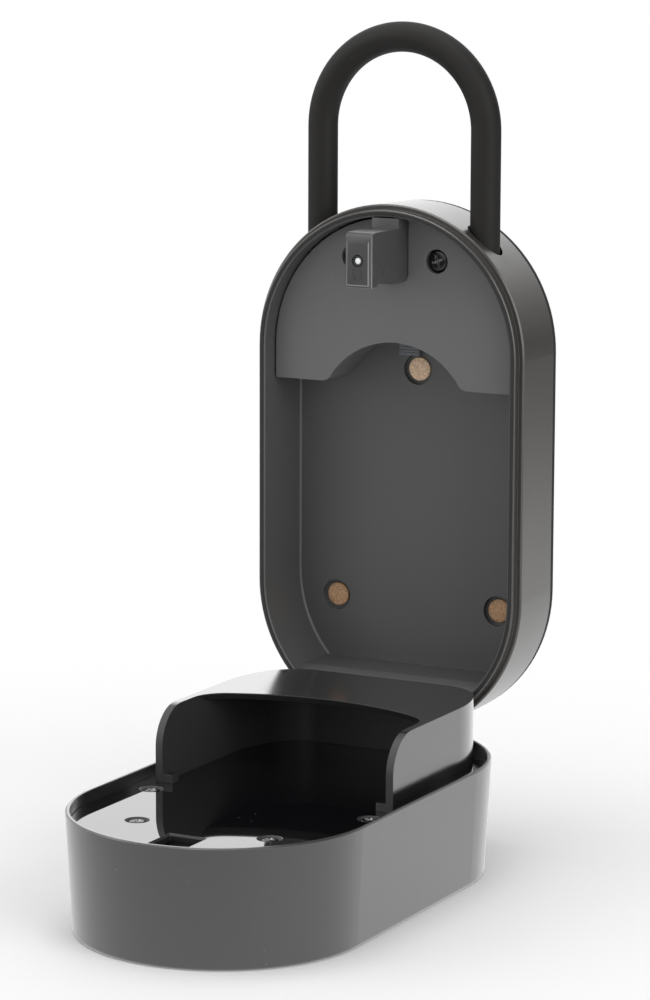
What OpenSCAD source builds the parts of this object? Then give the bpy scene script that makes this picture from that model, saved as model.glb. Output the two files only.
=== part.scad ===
// Smart key safe: a deep door with the electronics, hinged to a wall housing with a lift-off shackle.
// The door lies open on its front face and the housing stands behind it, so +Z is up and the
// origin is the middle of the footprint. Millimetres.

/* [Case] */
// Width of door and housing
case_w = 85; // [80:1:96]
// Height of door and housing
case_l = 154; // [150:1:176]
// Depth of the door
door_h = 33.5; // [32:0.5:40]
// How much each side of the door draws in towards its front face
door_draft = 1.7; // [1:0.1:3]
// Depth of the housing, without its rear pad
housing_d = 21.5; // [21:0.5:26]
// How much each side of the housing draws in towards its back
housing_draft = 0.5; // [0:0.1:1.2]
// Thickness of the rear pad
pad_t = 1.5; // [1:0.25:3]

/* [Walls] */
// Thickness of the door's rim
rim_t = 1.2; // [1.1:0.1:1.6]
// Thickness of the door's side below the panel
door_wall = 2.6; // [2.2:0.1:3]
// Thickness of the door's front face
door_floor = 2.5; // [2.2:0.1:3]
// Thickness of the housing's back
housing_floor = 2.9; // [2.5:0.1:4]
// Thickness of the tongue round the housing's mouth
tongue_t = 1.9; // [1.6:0.1:2.1]
// How far the tongue stands in front of the rim
tongue_h = 2.6; // [1.8:0.1:2.8]
// Gap between tongue and door rim
tongue_gap = 0.3; // [0.25:0.05:0.5]

/* [Hinge] */
// Pin axis behind the housing's rim
hinge_back = 7.4; // [7.2:0.1:8]
// Pin axis above the housing's lowest point
hinge_up = 7.2; // [7:0.1:7.4]
// Gap between the two rims when closed
rim_gap = 0.3; // [0.2:0.05:0.5]
// Radius of the hinge pin
pin_r = 1.5; // [1.4:0.05:1.7]
// Running clearance of the pin in its bushes
pin_gap = 0.05; // [0.03:0.01:0.08]
// Half width of the hinge barrel
barrel_x = 8.4; // [7:0.2:9]

/* [Panel and hood] */
// Depth of the inner panel below the door's rim
panel_drop = 3.4; // [3.2:0.1:4]
// Thickness of the inner panel
panel_t = 2.0; // [1.6:0.1:2.4]
// Distance of the key hood from the case's side
hood_inset = 5.3; // [5:0.1:9]
// Height of the key hood above the door's rim
hood_h = 17.6; // [12:0.2:17.8]
// Wall of the key hood
hood_t = 2.2; // [1.8:0.1:2.6]
// Distance from the hinge tip to the hood's front edge
hood_front = 84; // [80:1:86]
// Distance from the hinge tip to the hood's roof edge at its middle
roof_front = 50.5; // [40:0.5:56]

/* [Shackle] */
// Half the distance between the shackle's legs
leg_x = 26; // [24:0.5:26.5]
// Shackle axis behind the housing's rim
leg_back = 8.4; // [8.4:0.1:9]
// Radius of the steel core
core_r = 3.6; // [3.4:0.1:3.9]
// Thickness of the shackle's soft sleeve
sleeve_t = 0.7; // [0.5:0.1:0.8]
// Height of the shackle's axis above the housing at the bend
shackle_rise = 47; // [40:1:70]

/* [Striker and latch] */
// Width of the striker
striker_w = 8.4; // [7:0.2:9]
// How far the striker stands in front of the rim
striker_out = 20; // [18:0.5:20.5]
// Height of the striker's underside below the housing's top
striker_drop = 22; // [21:0.5:23]
// Travel of the latch bolt
bolt_travel = 5; // [4:0.5:5]

/* [Shackle lock] */
// Travel of the release slider
slide_travel = 5; // [4:0.5:5]
// Height of the lock bolts below the housing's top
lock_drop = 30; // [29:0.5:31]

/* [Batteries] */
// Radius of a battery cell
cell_r = 5.25; // [4.9:0.05:5.3]
// Length of a battery cell
cell_l = 44.5; // [42:0.5:46]

/* [Hidden] */

$fn = 96;
fine = 48;
eps = 0.01;

// Case outline: a stadium with its rear tip at y = 0, running towards -y
end_r = case_w / 2;
span = case_l - case_w;
mid_far = case_l - end_r;

// Shared frame: pin axis, housing rim plane and housing foot
back_over = housing_d + pad_t - hinge_back - hinge_up;
tip_y = (case_l - back_over) / 2;
pin_y = tip_y - hinge_up;
pin_z = door_h + rim_gap + hinge_back;
rim_y = pin_y - hinge_back;
foot_z = pin_z - hinge_up;

// Key hood
hood_x = end_r - hood_inset;
hood_rear_r = 15;
hood_corner = 11;
roof_r = 68;
roof_corner = 10;
foot_w = 3.4;
foot_at = [hood_x - hood_t + 0.3 - foot_w / 2, hood_front - 0.2 - foot_w / 2];
roof_undercut = 2;

// Door heights
panel_top = door_h - panel_drop;
panel_z = panel_top - panel_t;
plate_top = door_h - 6.5;
plate_t = 2.5;
rear_cut = hinge_up + hinge_back + tongue_h + 0.3;
screw_near = [34, 91.7];
screw_far = [20.3, 122.7];
panel_head_r = 2.6;
panel_head_h = 1.3;
panel_sink = 0.35;
panel_shank_l = 12;
plate_screw = [18.5, 13.2];
boss_r = 3.2;
fit = 0.2;

// Housing inside, measured from the case outline and behind the rim
lip_out = rim_t + tongue_gap;
housing_wall = lip_out + tongue_t;
cavity_d = housing_d - housing_floor;
cavity_draft = 0.4;
cavity_edge = 0.5;
shelf_up = rear_cut - 0.5;
shelf_r = rear_cut + 0.1 - hinge_up;
shelf_t = 1.8;
cover_face = 3;
cover_t = 1.4;
skirt_t = 1.4;
cover_drop = 52.5;
cover_foot = case_l - cover_drop;
arch_r = 24.8;
arch_rise = 12.5;
arch_round = 3;
arch_up = cover_foot + arch_rise - arch_r;
cover_screw = [13.4, case_l - 15.9];
cup_d = 6.4;
hole_r = 4.5;
hole_drop = 49.6;
hole_top = [0, case_l - hole_drop];
hole_low = [26.4, 35.2];
washer_bore_r = 2.6;
washer_r = 6;
washer_t = 1.5;
washer_seat = 0.5;
seal_t = 0.8;
seal_r = 3.5;
seal_back = housing_d - washer_seat;
sleeve_r = core_r + sleeve_t;
leg_hole_r = sleeve_r + 0.7;

// Shackle heights above the housing's foot
bend_up = case_l + shackle_rise - leg_x;
sleeve_foot = case_l - 14.5;
leg_foot = case_l - 37;

// Shackle lock
lock_up = case_l - lock_drop;
slope = 0.5;
lock_travel = slope * slide_travel;
bar_h = 6;
bar_d = 5;
bar_back = 12.4;
bar_tip = leg_x - core_r - 0.6;
bar_root = 4.5;
peg_x = 6.5;
peg_r = 1.2;
peg_gap = 0.1;
slider_front = 13;
slider_t = 2.2;
slider_x = 11.7;
slider_foot = lock_up - 8;
slider_top = lock_up + 5.5;
tab_x = 3.2;
tab_foot = case_l - 44.8;
chassis_t = 2;
chassis_x = 32.2;
chassis_foot = leg_foot - 3;
chassis_top = lock_up + 8;
guide_top = lock_up + 7;
guide_foot = leg_foot - 2.5;
guide_in = leg_x - 6.2;
guide_out = leg_x + 6.2;

// Striker and latch, measured above the housing's foot and behind the rim
striker_foot = case_l - striker_drop;
striker_head = case_l - 6.4;
notch_mid = -(striker_out - 8.1);
notch_h = 5.2;
latch_z = door_h + rim_gap + notch_mid;
latch_tip = striker_foot - 0.6;
latch_w = 7;
latch_hh = 2.5;
latch_l = 15;
nose_l = 3;
magnet_up = striker_foot + 7.7;
slot_edge = 0.5;
slot_near = striker_foot - 1.2;
slot_far = striker_head + 2.2;
slot_x = striker_w / 2 + 1.1;
guide_near = latch_tip - 11.5;
guide_far = latch_tip - 1;
screw_r = 1.5;
screw_l = bolt_travel + 8;
screw_pitch = 2;
motor_gap = 8.5;
motor_face = latch_tip - latch_l - motor_gap;
clamp_l = 6;
clamp_ear = 7;
guide_ear = 6;
motor_neck_r = 3;
motor_w = 12;
motor_h = 10;
gearbox_l = 9;
motor_l = 15;

// Batteries and board
cells = 4;
cell_pitch = 2 * cell_r + 0.5;
cell_z = door_floor + 2.55 + cell_r;
cell_near = 28.2;
cradle_wall = 1.5;
contact_t = 0.6;
cradle_far = cell_near + cell_l + cradle_wall + contact_t;
cradle_x = cells * cell_pitch / 2 + 1;
board_z = door_floor + 3.1;
board_t = 1.6;
board_inset = 13.5;
board_near = cradle_far + 8;
board_far = case_l - 10;
board_hole_x = end_r - 18.5;
board_hole_near = board_near + 5;
radio_at = [-16, 26];
radio_board = [12, 16, 0.8];
radio_can = [10.4, 11.8, 1.6];
radio_edge = 0.8;
board_hole_far = case_l - 42;
window_inset = 21.5;
window_x = end_r - window_inset;
window_near = 24;
window_far = case_l - 24;
window_t = 1.2;
pipe_at = [0, 104];

function door_out(z) = end_r - door_draft * (1 - z / door_h);
function housing_out(d) = end_r - housing_draft * d / housing_d;
// Quarter round of n steps about c, from angle a to angle b
function bend(c, r, a, b, n = 6) = [for (i = [0:n]) c + r * [cos(a + (b - a) * i / n), sin(a + (b - a) * i / n)]];

// Places children drawn in the case outline's frame: x across, -y away from the hinge tip
module in_door() { translate([0, tip_y, 0]) children(); }
module in_housing() { translate([0, rim_y, foot_z]) rotate([-90, 0, 0]) children(); }

// The case outline, drawn in by an inset
module outline(inset = 0) {
    r = end_r - inset;
    translate([0, -end_r]) circle(r);
    translate([0, -mid_far]) circle(r);
    translate([-r, -mid_far]) square([2 * r, span]);
}
module outline_prism(inset, h) { linear_extrude(h) outline(inset); }

// A section of radius and height carried round the case outline
module carried(section) {
    for (y = [end_r, mid_far]) translate([0, -y, 0]) rotate_extrude() polygon(section);
    translate([0, -end_r, 0]) rotate([90, 0, 0]) linear_extrude(span) {
        polygon(section);
        mirror([1, 0]) polygon(section);
    }
}

// A rod along x between two values
module rod_x(r, x0, x1) { translate([x0, 0, 0]) rotate([0, 90, 0]) cylinder(r = r, h = x1 - x0, $fn = fine); }
// A rod that rises along -y of the outline frame
module rod_up(r, u0, u1) { translate([0, -u0, 0]) rotate([90, 0, 0]) cylinder(r = r, h = u1 - u0, $fn = fine); }
// A box in the outline frame, given by its distances from the tip and its heights
module slab(x0, x1, u0, u1, d0, d1) { translate([x0, -u1, d0]) cube([x1 - x0, u1 - u0, d1 - d0]); }
// A cross-recessed screw with its head's top at z = 0 and its shank downwards
module screw(head_r, head_h, shank_r, shank_l, cone = false) {
    difference() {
        union() {
            if (cone) translate([0, 0, -head_h]) cylinder(r1 = shank_r, r2 = head_r, h = head_h, $fn = fine);
            else translate([0, 0, -head_h]) cylinder(r = head_r, h = head_h, $fn = fine);
            translate([0, 0, -head_h - shank_l]) cylinder(r = shank_r, h = shank_l + eps, $fn = fine);
        }
        for (a = [0, 90]) rotate(a + 20) translate([-head_r * 0.6, -0.35, -head_h * 0.5])
            cube([head_r * 1.2, 0.7, head_h]);
    }
}

// Door

// What the housing's outer edge sweeps as the door closes, with a running gap
module rim_sweep() {
    gap = 0.25;
    half = 24;
    n = 12;
    reach = [for (i = [-n:n]) let (x = half * i / n, d = end_r - sqrt(end_r * end_r - x * x))
        [sqrt(pow(hinge_back, 2) + pow(hinge_up - d, 2)) + gap, x]];
    translate([0, -hinge_up, pin_z]) rotate([0, 90, 0]) rotate_extrude()
        polygon(concat([[0, -half]], reach, [[0, half]]));
}

module door_shell() color("#4a4a49") in_door() {
    foot_r = 1.2;
    edge = 0.4;
    side = atan2(door_draft, door_h);
    body = concat([[0, 0]], bend([door_out(0) - foot_r, foot_r], foot_r, -90, -side, 5),
        [[end_r - edge * 0.1, door_h - edge], [end_r - edge, door_h], [0, door_h]]);
    room = [[0, door_floor], [door_out(door_floor) - door_wall - 1.5, door_floor],
        [door_out(door_floor + 1.5) - door_wall, door_floor + 1.5], [door_out(panel_z) - door_wall, panel_z],
        [end_r - rim_t, panel_z], [end_r - rim_t, door_h - edge / 2], [end_r - rim_t + edge / 2, door_h],
        [end_r - rim_t + edge / 2, door_h + 1], [0, door_h + 1]];
    difference() {
        union() {
            difference() {
                carried(body);
                carried(room);
            }
            for (s = [-1, 1], p = [screw_near, screw_far]) translate([s * p[0], -p[1], door_floor - eps])
                cylinder(r = boss_r, h = panel_z - door_floor + eps, $fn = fine);
            for (s = [-1, 1]) translate([s * plate_screw[0], -plate_screw[1], door_floor - eps])
                cylinder(r = boss_r, h = plate_top - plate_t - door_floor + eps, $fn = fine);
            for (s = [-1, 1], y = [board_hole_near, board_hole_far]) translate([s * board_hole_x, -y, door_floor - eps])
                cylinder(r = 2.4, h = board_z - door_floor + eps, $fn = fine);
        }
        for (s = [-1, 1], p = [screw_near, screw_far]) translate([s * p[0], -p[1], door_floor + 6])
            cylinder(r = 1.3, h = door_h, $fn = fine);
        for (s = [-1, 1]) translate([s * plate_screw[0], -plate_screw[1], door_floor + 6])
            cylinder(r = 1.3, h = door_h, $fn = fine);
        for (s = [-1, 1], y = [board_hole_near, board_hole_far]) translate([s * board_hole_x, -y, door_floor])
            cylinder(r = 0.9, h = door_h, $fn = fine);
        translate([0, 0, -eps]) window_plate(window_t + eps, 0);
        translate([0, -pipe_at[1], 0]) cylinder(r = 1.6, h = door_floor + 1, $fn = fine);
        rim_sweep();
    }
}

// Stadium plate of the touch window, drawn in by an inset
module window_plate(h, inset) {
    r = window_x - inset;
    near = window_near + window_x;
    far = window_far - window_x;
    for (y = [near, far]) translate([0, -y, 0]) cylinder(r = r, h = h);
    translate([-r, -far, 0]) cube([2 * r, far - near, h]);
}

module touch_window() color("#101012") in_door() translate([0, 0, 0.15]) window_plate(window_t - 0.15, 0.1);

module light_pipe() color("#e8ecee") in_door() translate([0, -pipe_at[1], window_t])
    cylinder(r = 1.5, h = board_z - 1 - window_t, $fn = fine);

// Inner panel with its latch slot and screw seats
module inner_panel() color("#17171a") in_door() difference() {
    translate([0, 0, panel_z]) outline_prism(rim_t + fit, panel_t);
    translate([-end_r, -rear_cut, 0]) cube([case_w, case_w, door_h]);
    slab(-slot_x, slot_x, slot_near, slot_far, 0, door_h);
    // Chamfer round the slot
    intersection() {
        translate([0, -slot_far - 2, panel_top]) rotate([-90, 0, 0]) linear_extrude(slot_far - slot_near + 4)
            polygon([[-slot_x, slot_edge], [-slot_x - slot_edge - 1, -1], [slot_x + slot_edge + 1, -1], [slot_x, slot_edge]]);
        translate([-slot_x - 2, 0, panel_top]) rotate([90, 0, 90]) linear_extrude(2 * slot_x + 4)
            polygon([[-slot_far, -slot_edge], [-slot_near, -slot_edge], [-slot_near + slot_edge + 1, 1],
                [-slot_far - slot_edge - 1, 1]]);
    }
    for (s = [-1, 1], p = [screw_near, screw_far]) translate([s * p[0], -p[1], panel_top]) {
        // Hole, seat of the head, and a shallow dish round it
        rotate_extrude($fn = fine) polygon([[0, -panel_t - 1], [1.7, -panel_t - 1], [1.7, -panel_sink - 1],
            [panel_head_r + 0.05, -panel_sink], [panel_head_r + 0.9, 0], [panel_head_r + 0.9, 1], [0, 1]]);
    }
    for (s = [-1, 1]) translate([s * foot_at[0], -foot_at[1], 0]) cylinder(r = 1.2, h = door_h, $fn = fine);
}

module panel_screws() color("#1c1c1e") in_door()
    for (s = [-1, 1], p = [screw_near, screw_far]) translate([s * p[0], -p[1], panel_top - panel_sink])
        screw(panel_head_r, panel_head_h, 1.28, panel_shank_l, true);

// Outline of the key hood, drawn in by t: the case outline with its rear end cut flat behind round
// corners, so that the housing's tongue swings past
module hood_outline(t = 0) {
    rear = rear_cut + 0.7;
    c = [sqrt(pow(hood_x - hood_rear_r, 2) - pow(end_r - rear - hood_rear_r, 2)), rear + hood_rear_r];
    reach = 2 * end_r;
    difference() {
        intersection() {
            outline(hood_inset + t);
            translate([-hood_x, -hood_front - (t > 0 ? 1 : 0)]) square([2 * hood_x, hood_front + (t > 0 ? 1 : 0) - rear - t]);
        }
        for (s = [-1, 1]) translate([s * c[0], -c[1]]) difference() {
            polygon([[0, 0], [0, reach], [s * reach, reach], [s * reach * c[0], reach * (end_r - c[1])] / hood_x]);
            circle(hood_rear_r - t);
        }
    }
}

// Key hood: a low roofed bay, open towards the door's tip
module key_hood() color("#232325") in_door() {
    top = door_h + hood_h;
    roof_c = -roof_front - roof_r;
    corner_x = hood_x - hood_t - roof_corner;
    corner_y = sqrt(pow(roof_r - roof_corner, 2) - pow(corner_x, 2));
    difference() {
        translate([0, 0, panel_top]) linear_extrude(top - panel_top) hood_outline();
        linear_extrude(top - hood_t) hood_outline(hood_t);
        // Roof edge: an arc that runs into the two side walls with round corners
        difference() {
            intersection() {
                translate([0, roof_c, 0]) cylinder(r = roof_r, h = top + 1);
                slab(-hood_x + hood_t, hood_x - hood_t, roof_front - 1, hood_front + 1, 0, top + 1);
            }
            for (s = [-1, 1]) translate([s * corner_x, roof_c + corner_y, -1]) difference() {
                linear_extrude(top + 3) polygon([[0, 0], 0.5 * [s * corner_x, corner_y], [s * 30, 25], [s * 30, 0]]);
                cylinder(r = roof_corner, h = top + 3);
            }
        }
        // The roof's underside draws back from its edge, which leaves a thin lip
        difference() {
            intersection() {
                translate([0, roof_c, top - hood_t - eps]) cylinder(r1 = roof_r + roof_undercut, r2 = roof_r, h = hood_t - 0.3);
                slab(-hood_x + hood_t, hood_x - hood_t, roof_front - 5, hood_front + 1, top - hood_t - 1, top);
            }
            for (s = [-1, 1]) translate([s * corner_x, roof_c + corner_y, top - hood_t - eps]) difference() {
                translate([0, 0, -1]) linear_extrude(hood_t + 2)
                    polygon([[0, 0], 0.5 * [s * corner_x, corner_y], [s * 30, 25], [s * 30, 0]]);
                cylinder(r1 = roof_corner + roof_undercut, r2 = roof_corner, h = hood_t - 0.3);
            }
        }
        // Rounded upper front corner of the side walls
        difference() {
            slab(-hood_x - 1, hood_x + 1, hood_front - hood_corner, hood_front + 1, top - hood_corner, top + 1);
            translate([0, -hood_front + hood_corner, top - hood_corner]) rod_x(hood_corner, -hood_x - 2, hood_x + 2);
        }
    }
    for (s = [-1, 1]) difference() {
        translate([s * foot_at[0] - foot_w / 2, -foot_at[1] - foot_w / 2, panel_top]) cube([foot_w, foot_w, 2.4]);
        translate([s * foot_at[0], -foot_at[1], 0]) cylinder(r = 0.85, h = panel_top + 1.9, $fn = fine);
    }
}

module hood_screws() color("#1c1c1e") in_door()
    for (s = [-1, 1]) translate([s * foot_at[0], -foot_at[1], panel_z - 1.2]) rotate([180, 0, 0])
        screw(1.9, 1.2, 0.83, panel_t + 1.6);

// Hinge bracket: a plate with two lugs that carry the pin
lug_in = barrel_x + 0.8;
lug_t = 4;
lug_r = 3.8;
module hinge_bracket() color("#2b2b2d") in_door() {
    difference() {
        translate([0, 0, plate_top - plate_t]) intersection() {
            outline_prism(end_r - door_out(plate_top - plate_t) + door_wall + 0.3, plate_t);
            slab(-case_w, case_w, 0, rear_cut + 5, -1, plate_t + 1);
        }
        for (s = [-1, 1]) translate([s * plate_screw[0], -plate_screw[1], 0])
            cylinder(r = 1.6, h = door_h, $fn = fine);
    }
    for (s = [-1, 1]) difference() {
        union() {
            translate([0, -hinge_up, pin_z]) rod_x(lug_r, s > 0 ? lug_in : -lug_in - lug_t, s > 0 ? lug_in + lug_t : -lug_in);
            slab(s > 0 ? lug_in : -lug_in - lug_t, s > 0 ? lug_in + lug_t : -lug_in,
                hinge_up - 1, hinge_up + lug_r, plate_top - eps, pin_z);
        }
        translate([0, -hinge_up, pin_z]) rod_x(pin_r + 0.02, -case_w, case_w);
    }
}

module bracket_screws() color("#1c1c1e") in_door()
    for (s = [-1, 1]) translate([s * plate_screw[0], -plate_screw[1], plate_top + 1.7])
        screw(2.7, 1.7, 1.28, 10);

module hinge_pin() color("#8c8f92") in_door() translate([0, -hinge_up, pin_z]) {
    reach = lug_in + lug_t;
    rod_x(pin_r, -reach, reach);
}

// Electronics in the door

module circuit_board() color("#1f5a3c") in_door() difference() {
    translate([0, 0, board_z]) intersection() {
        outline_prism(board_inset, board_t);
        slab(-case_w, case_w, board_near, board_far, -1, board_t + 1);
    }
    for (s = [-1, 1], y = [board_hole_near, board_hole_far]) translate([s * board_hole_x, -y, 0])
        cylinder(r = 1.3, h = door_h, $fn = fine);
    for (s = [-1, 1]) translate([s * screw_far[0], -screw_far[1], 0]) cylinder(r = boss_r + 0.6, h = door_h, $fn = fine);
}

module board_screws() color("#b9bbbd") in_door()
    for (s = [-1, 1], y = [board_hole_near, board_hole_far]) translate([s * board_hole_x, -y, board_z + board_t + 1.2])
        screw(2, 1.2, 0.88, board_t + 2.6);

module radio_module() color("#c3c6c8") in_door() translate([radio_at[0], radio_at[1] - board_far, board_z + board_t]) {
    cube(radio_board);
    translate([radio_edge, radio_board[1] - radio_can[1] - radio_edge, radio_board[2] - eps]) cube(radio_can);
}

module status_led() color("#f4f6f2") in_door() translate([0, -pipe_at[1], board_z - 0.9])
    translate([-1.2, -1.2, 0]) cube([2.4, 2.4, 0.9]);

// Sensor that the striker's magnet comes over when the door is closed
module door_sensor() color("#26262a") in_door() translate([0, -magnet_up, board_z + board_t]) {
    translate([-2, -1.6, 0]) cube([4, 3.2, 1.5]);
    for (x = [-1.3, 0, 1.3]) translate([x - 0.25, 1.6 - eps, 0]) cube([0.5, 1.1, 0.5]);
}

function cell_x(i) = (i - (cells - 1) / 2) * cell_pitch;

module battery_cradle() color("#2f3033") in_door() difference() {
    slab(-cradle_x, cradle_x, cell_near - cradle_wall - contact_t, cell_near + cell_l + cradle_wall + contact_t,
        door_floor, cell_z + 1);
    for (i = [0:cells - 1]) translate([cell_x(i), -cell_near, cell_z])
        rotate([90, 0, 0]) cylinder(r = cell_r + fit, h = cell_l);
    slab(-cradle_x + 1, cradle_x - 1, cell_near - contact_t, cell_near + cell_l + contact_t, cell_z - cell_r + 2, door_h);
    for (i = [0:cells - 1]) slab(cell_x(i) - 4, cell_x(i) + 4, cell_near + 8, cell_near + cell_l - 8, 0, door_h);
}

module battery_cells() color("#b7863a") in_door()
    for (i = [0:cells - 1]) translate([cell_x(i), -cell_near - (i % 2) * cell_l, cell_z])
        rotate([i % 2 == 0 ? 90 : -90, 0, 0]) rotate_extrude($fn = fine)
            polygon([[0, 0], [cell_r - 0.6, 0], [cell_r, 0.6], [cell_r, cell_l - 1.6], [cell_r - 0.6, cell_l - 1.2],
                [2.7, cell_l - 1.2], [2.6, cell_l], [0, cell_l]]);

module battery_contacts() color("#c9ccd0") in_door() {
    h = 2 * (cell_r - 2);
    for (i = [0:cells - 1], end = [cell_near - contact_t, cell_near + cell_l])
        slab(cell_x(i) - 4.2, cell_x(i) + 4.2, end + 0.05, end + contact_t - 0.05, cell_z - h / 2, cell_z + h / 2);
}

// Latch: a geared motor turns a lead screw that drives the bolt

module gear_motor() color("#a9acae") in_door() {
    slab(-motor_w / 2, motor_w / 2, motor_face - gearbox_l, motor_face, latch_z - motor_h / 2, latch_z + motor_h / 2);
    intersection() {
        translate([0, 0, latch_z]) rod_up(motor_w / 2, motor_face - gearbox_l - motor_l, motor_face - gearbox_l + eps);
        slab(-motor_w, motor_w, motor_face - gearbox_l - motor_l, motor_face, latch_z - motor_h / 2, latch_z + motor_h / 2);
    }
    translate([0, 0, latch_z]) rod_up(motor_neck_r, motor_face - eps, motor_face + 1);
}

module motor_clamp() color("#2f3033") in_door() difference() {
    near = motor_face - gearbox_l - clamp_l;
    union() {
        slab(-motor_w / 2 - 2, motor_w / 2 + 2, near, motor_face - 1, latch_z - motor_h / 2 - 2, panel_z);
        slab(-motor_w / 2 - clamp_ear, motor_w / 2 + clamp_ear, near, motor_face - 1, panel_z - 2.4, panel_z);
    }
    slab(-motor_w / 2 - 0.05, motor_w / 2 + 0.05, near - 1, motor_face, latch_z - motor_h / 2 - 0.05,
        latch_z + motor_h / 2 + 0.05);
}

module bolt_guide() color("#3a3b3e") in_door() difference() {
    union() {
        slab(-latch_w / 2 - 2.4, latch_w / 2 + 2.4, guide_near, guide_far, latch_z - latch_hh - 2.4, panel_z);
        slab(-latch_w / 2 - guide_ear, latch_w / 2 + guide_ear, guide_near, guide_far - 1.5, panel_z - 2.4, panel_z);
    }
    slab(-latch_w / 2 - fit, latch_w / 2 + fit, 0, case_l, latch_z - latch_hh - fit, latch_z + latch_hh + fit);
}

module lead_screw() color("#9a9da0") in_door() translate([0, 0, latch_z]) {
    root = motor_face + 1.2;
    rod_up(screw_r - 0.25, root, root + screw_l + 2);
    rod_up(2.6, root, root + 1.5);
    for (i = [0:floor((screw_l - 1) / screw_pitch)]) translate([0, -(root + 3.2 + i * screw_pitch), 0]) rotate([90, 0, 0]) rotate_extrude($fn = fine)
        polygon([[0.5, -0.5], [screw_r - 0.25, -0.5], [screw_r, -0.25], [screw_r, 0.25], [screw_r - 0.25, 0.5], [0.5, 0.5]]);
}

module latch_bolt() color("#8f9396") in_door() difference() {
    union() {
        slab(-latch_w / 2, latch_w / 2, latch_tip - latch_l, latch_tip - nose_l, latch_z - latch_hh, latch_z + latch_hh);
        translate([-latch_w / 2, 0, latch_z]) rotate([90, 0, 90]) linear_extrude(latch_w)
            polygon([[-latch_tip + nose_l + eps, -latch_hh], [-latch_tip, -0.35], [-latch_tip, 0.35],
                [-latch_tip + nose_l + eps, latch_hh]]);
    }
    translate([0, 0, latch_z]) rod_up(screw_r + 0.08, latch_tip - latch_l - 1, latch_tip - nose_l - 1);
}

// Housing

module housing_shell() color("#4d4c4a") in_housing() {
    edge = 0.4;
    back_edge = 0.4;
    lip = end_r - lip_out;
    inner = end_r - housing_wall;
    body = [[0, -tongue_h], [lip - 0.25, -tongue_h], [lip, -tongue_h + 0.25], [lip, 0], [end_r - edge, 0],
        [end_r, edge], [housing_out(housing_d - back_edge), housing_d - back_edge],
        [housing_out(housing_d) - back_edge, housing_d], [0, housing_d]];
    room = [[0, -tongue_h - 1], [inner + 1.3, -tongue_h - 1], [inner, -tongue_h + 0.3], [inner, 0], [inner - cavity_draft, cavity_d - cavity_edge],
        [inner - cavity_draft - cavity_edge, cavity_d], [0, cavity_d]];
    difference() {
        union() {
            difference() {
                carried(body);
                carried(room);
            }
            // Hinge barrel on the bottom wall
            intersection() {
                union() {
                    translate([0, -hinge_up, hinge_back]) rod_x(4, -barrel_x, barrel_x);
                    slab(-barrel_x, barrel_x, 1, hinge_up, hinge_back - 4, hinge_back + 4);
                }
                translate([0, 0, -1]) outline_prism(1, housing_d);
            }
            // Shelf over the hinge, rounded where the hood's rear wall swings past
            intersection() {
                translate([-end_r, 0, 0]) rotate([90, 0, 90]) linear_extrude(case_w) shelf_section();
                translate([0, 0, -1]) outline_prism(housing_wall - 0.1, housing_d);
            }
            // Posts of the cover screws
            for (s = [-1, 1]) translate([s * cover_screw[0], -cover_screw[1], cup_d])
                cylinder(r = 3.4, h = cavity_d - cup_d + eps, $fn = fine);
        }
        // Groove of the rim seal in the tongue's front
        translate([0, 0, -tongue_h - 1]) difference() {
            outline_prism(lip_out + tongue_t / 2 - seal_w / 2 - 0.03, 1 + seal_h);
            translate([0, 0, -1]) outline_prism(lip_out + tongue_t / 2 + seal_w / 2 + 0.03, 3 + seal_h);
        }
        // Hinge pin and bushes
        translate([0, -hinge_up, hinge_back]) rod_x(bush_r + 0.02, -barrel_x - 1, barrel_x + 1);
        // Notches that the lugs swing in
        for (s = [-1, 1]) slab(s > 0 ? barrel_x + eps : -lug_in - lug_t - 0.5, s > 0 ? lug_in + lug_t + 0.5 : -barrel_x - eps,
            -1, hinge_up + 0.5, -tongue_h - 1, hinge_back + lug_r + 0.5);
        for (s = [-1, 1]) translate([s * leg_x, 0, leg_back]) rod_up(leg_hole_r, case_l - 24, case_l);
        for (s = [-1, 1]) translate([s * cover_screw[0], -cover_screw[1], 0]) cylinder(r = 1.2, h = cavity_d - 1, $fn = fine);
        for (p = holes()) translate([p[0], -p[1], 0]) {
            translate([0, 0, cavity_d - 1]) cylinder(r = hole_r, h = seal_back - seal_t - cavity_d + 1, $fn = fine);
            cylinder(r = seal_r + 0.05, h = housing_d, $fn = fine);
            translate([0, 0, seal_back]) cylinder(r = washer_r + 0.05, h = housing_d, $fn = fine);
        }
        for (u = striker_holes) translate([0, -u, 0]) {
            cylinder(r = 1.7, h = housing_d + 1, $fn = fine);
            translate([0, 0, housing_d - 1.6]) cylinder(r1 = 1.7, r2 = 3.3 + eps, h = 1.6 + eps, $fn = fine);
        }
        for (s = [-1, 1]) translate([s * chassis_hole[0], -chassis_hole[1], cavity_d - 1]) cylinder(r = 1.1, h = 2.6, $fn = fine);
    }
}
seal_w = 0.8;
seal_h = 1;
// The shelf seen along the hinge pin, as -height and depth
module shelf_section() {
    difference() {
        intersection() {
            shelf_outline(shelf_up, shelf_r);
            translate([-shelf_up - 1, 0.2]) square([shelf_up - hinge_up - 3, cavity_d]);
        }
        shelf_outline(shelf_up - shelf_t, shelf_r - shelf_t);
    }
}
module shelf_outline(up, r) {
    translate([-up, hinge_back]) square([up, cavity_d]);
    intersection() {
        translate([-hinge_up, hinge_back]) circle(r);
        translate([-up, -r]) square([up, cavity_d + 2 * r]);
    }
}
function holes() = [hole_top, hole_low, [-hole_low[0], hole_low[1]]];
striker_holes = [case_l - 20.5, case_l - 11.5];
chassis_hole = [16.5, lock_up + 5];

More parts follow.
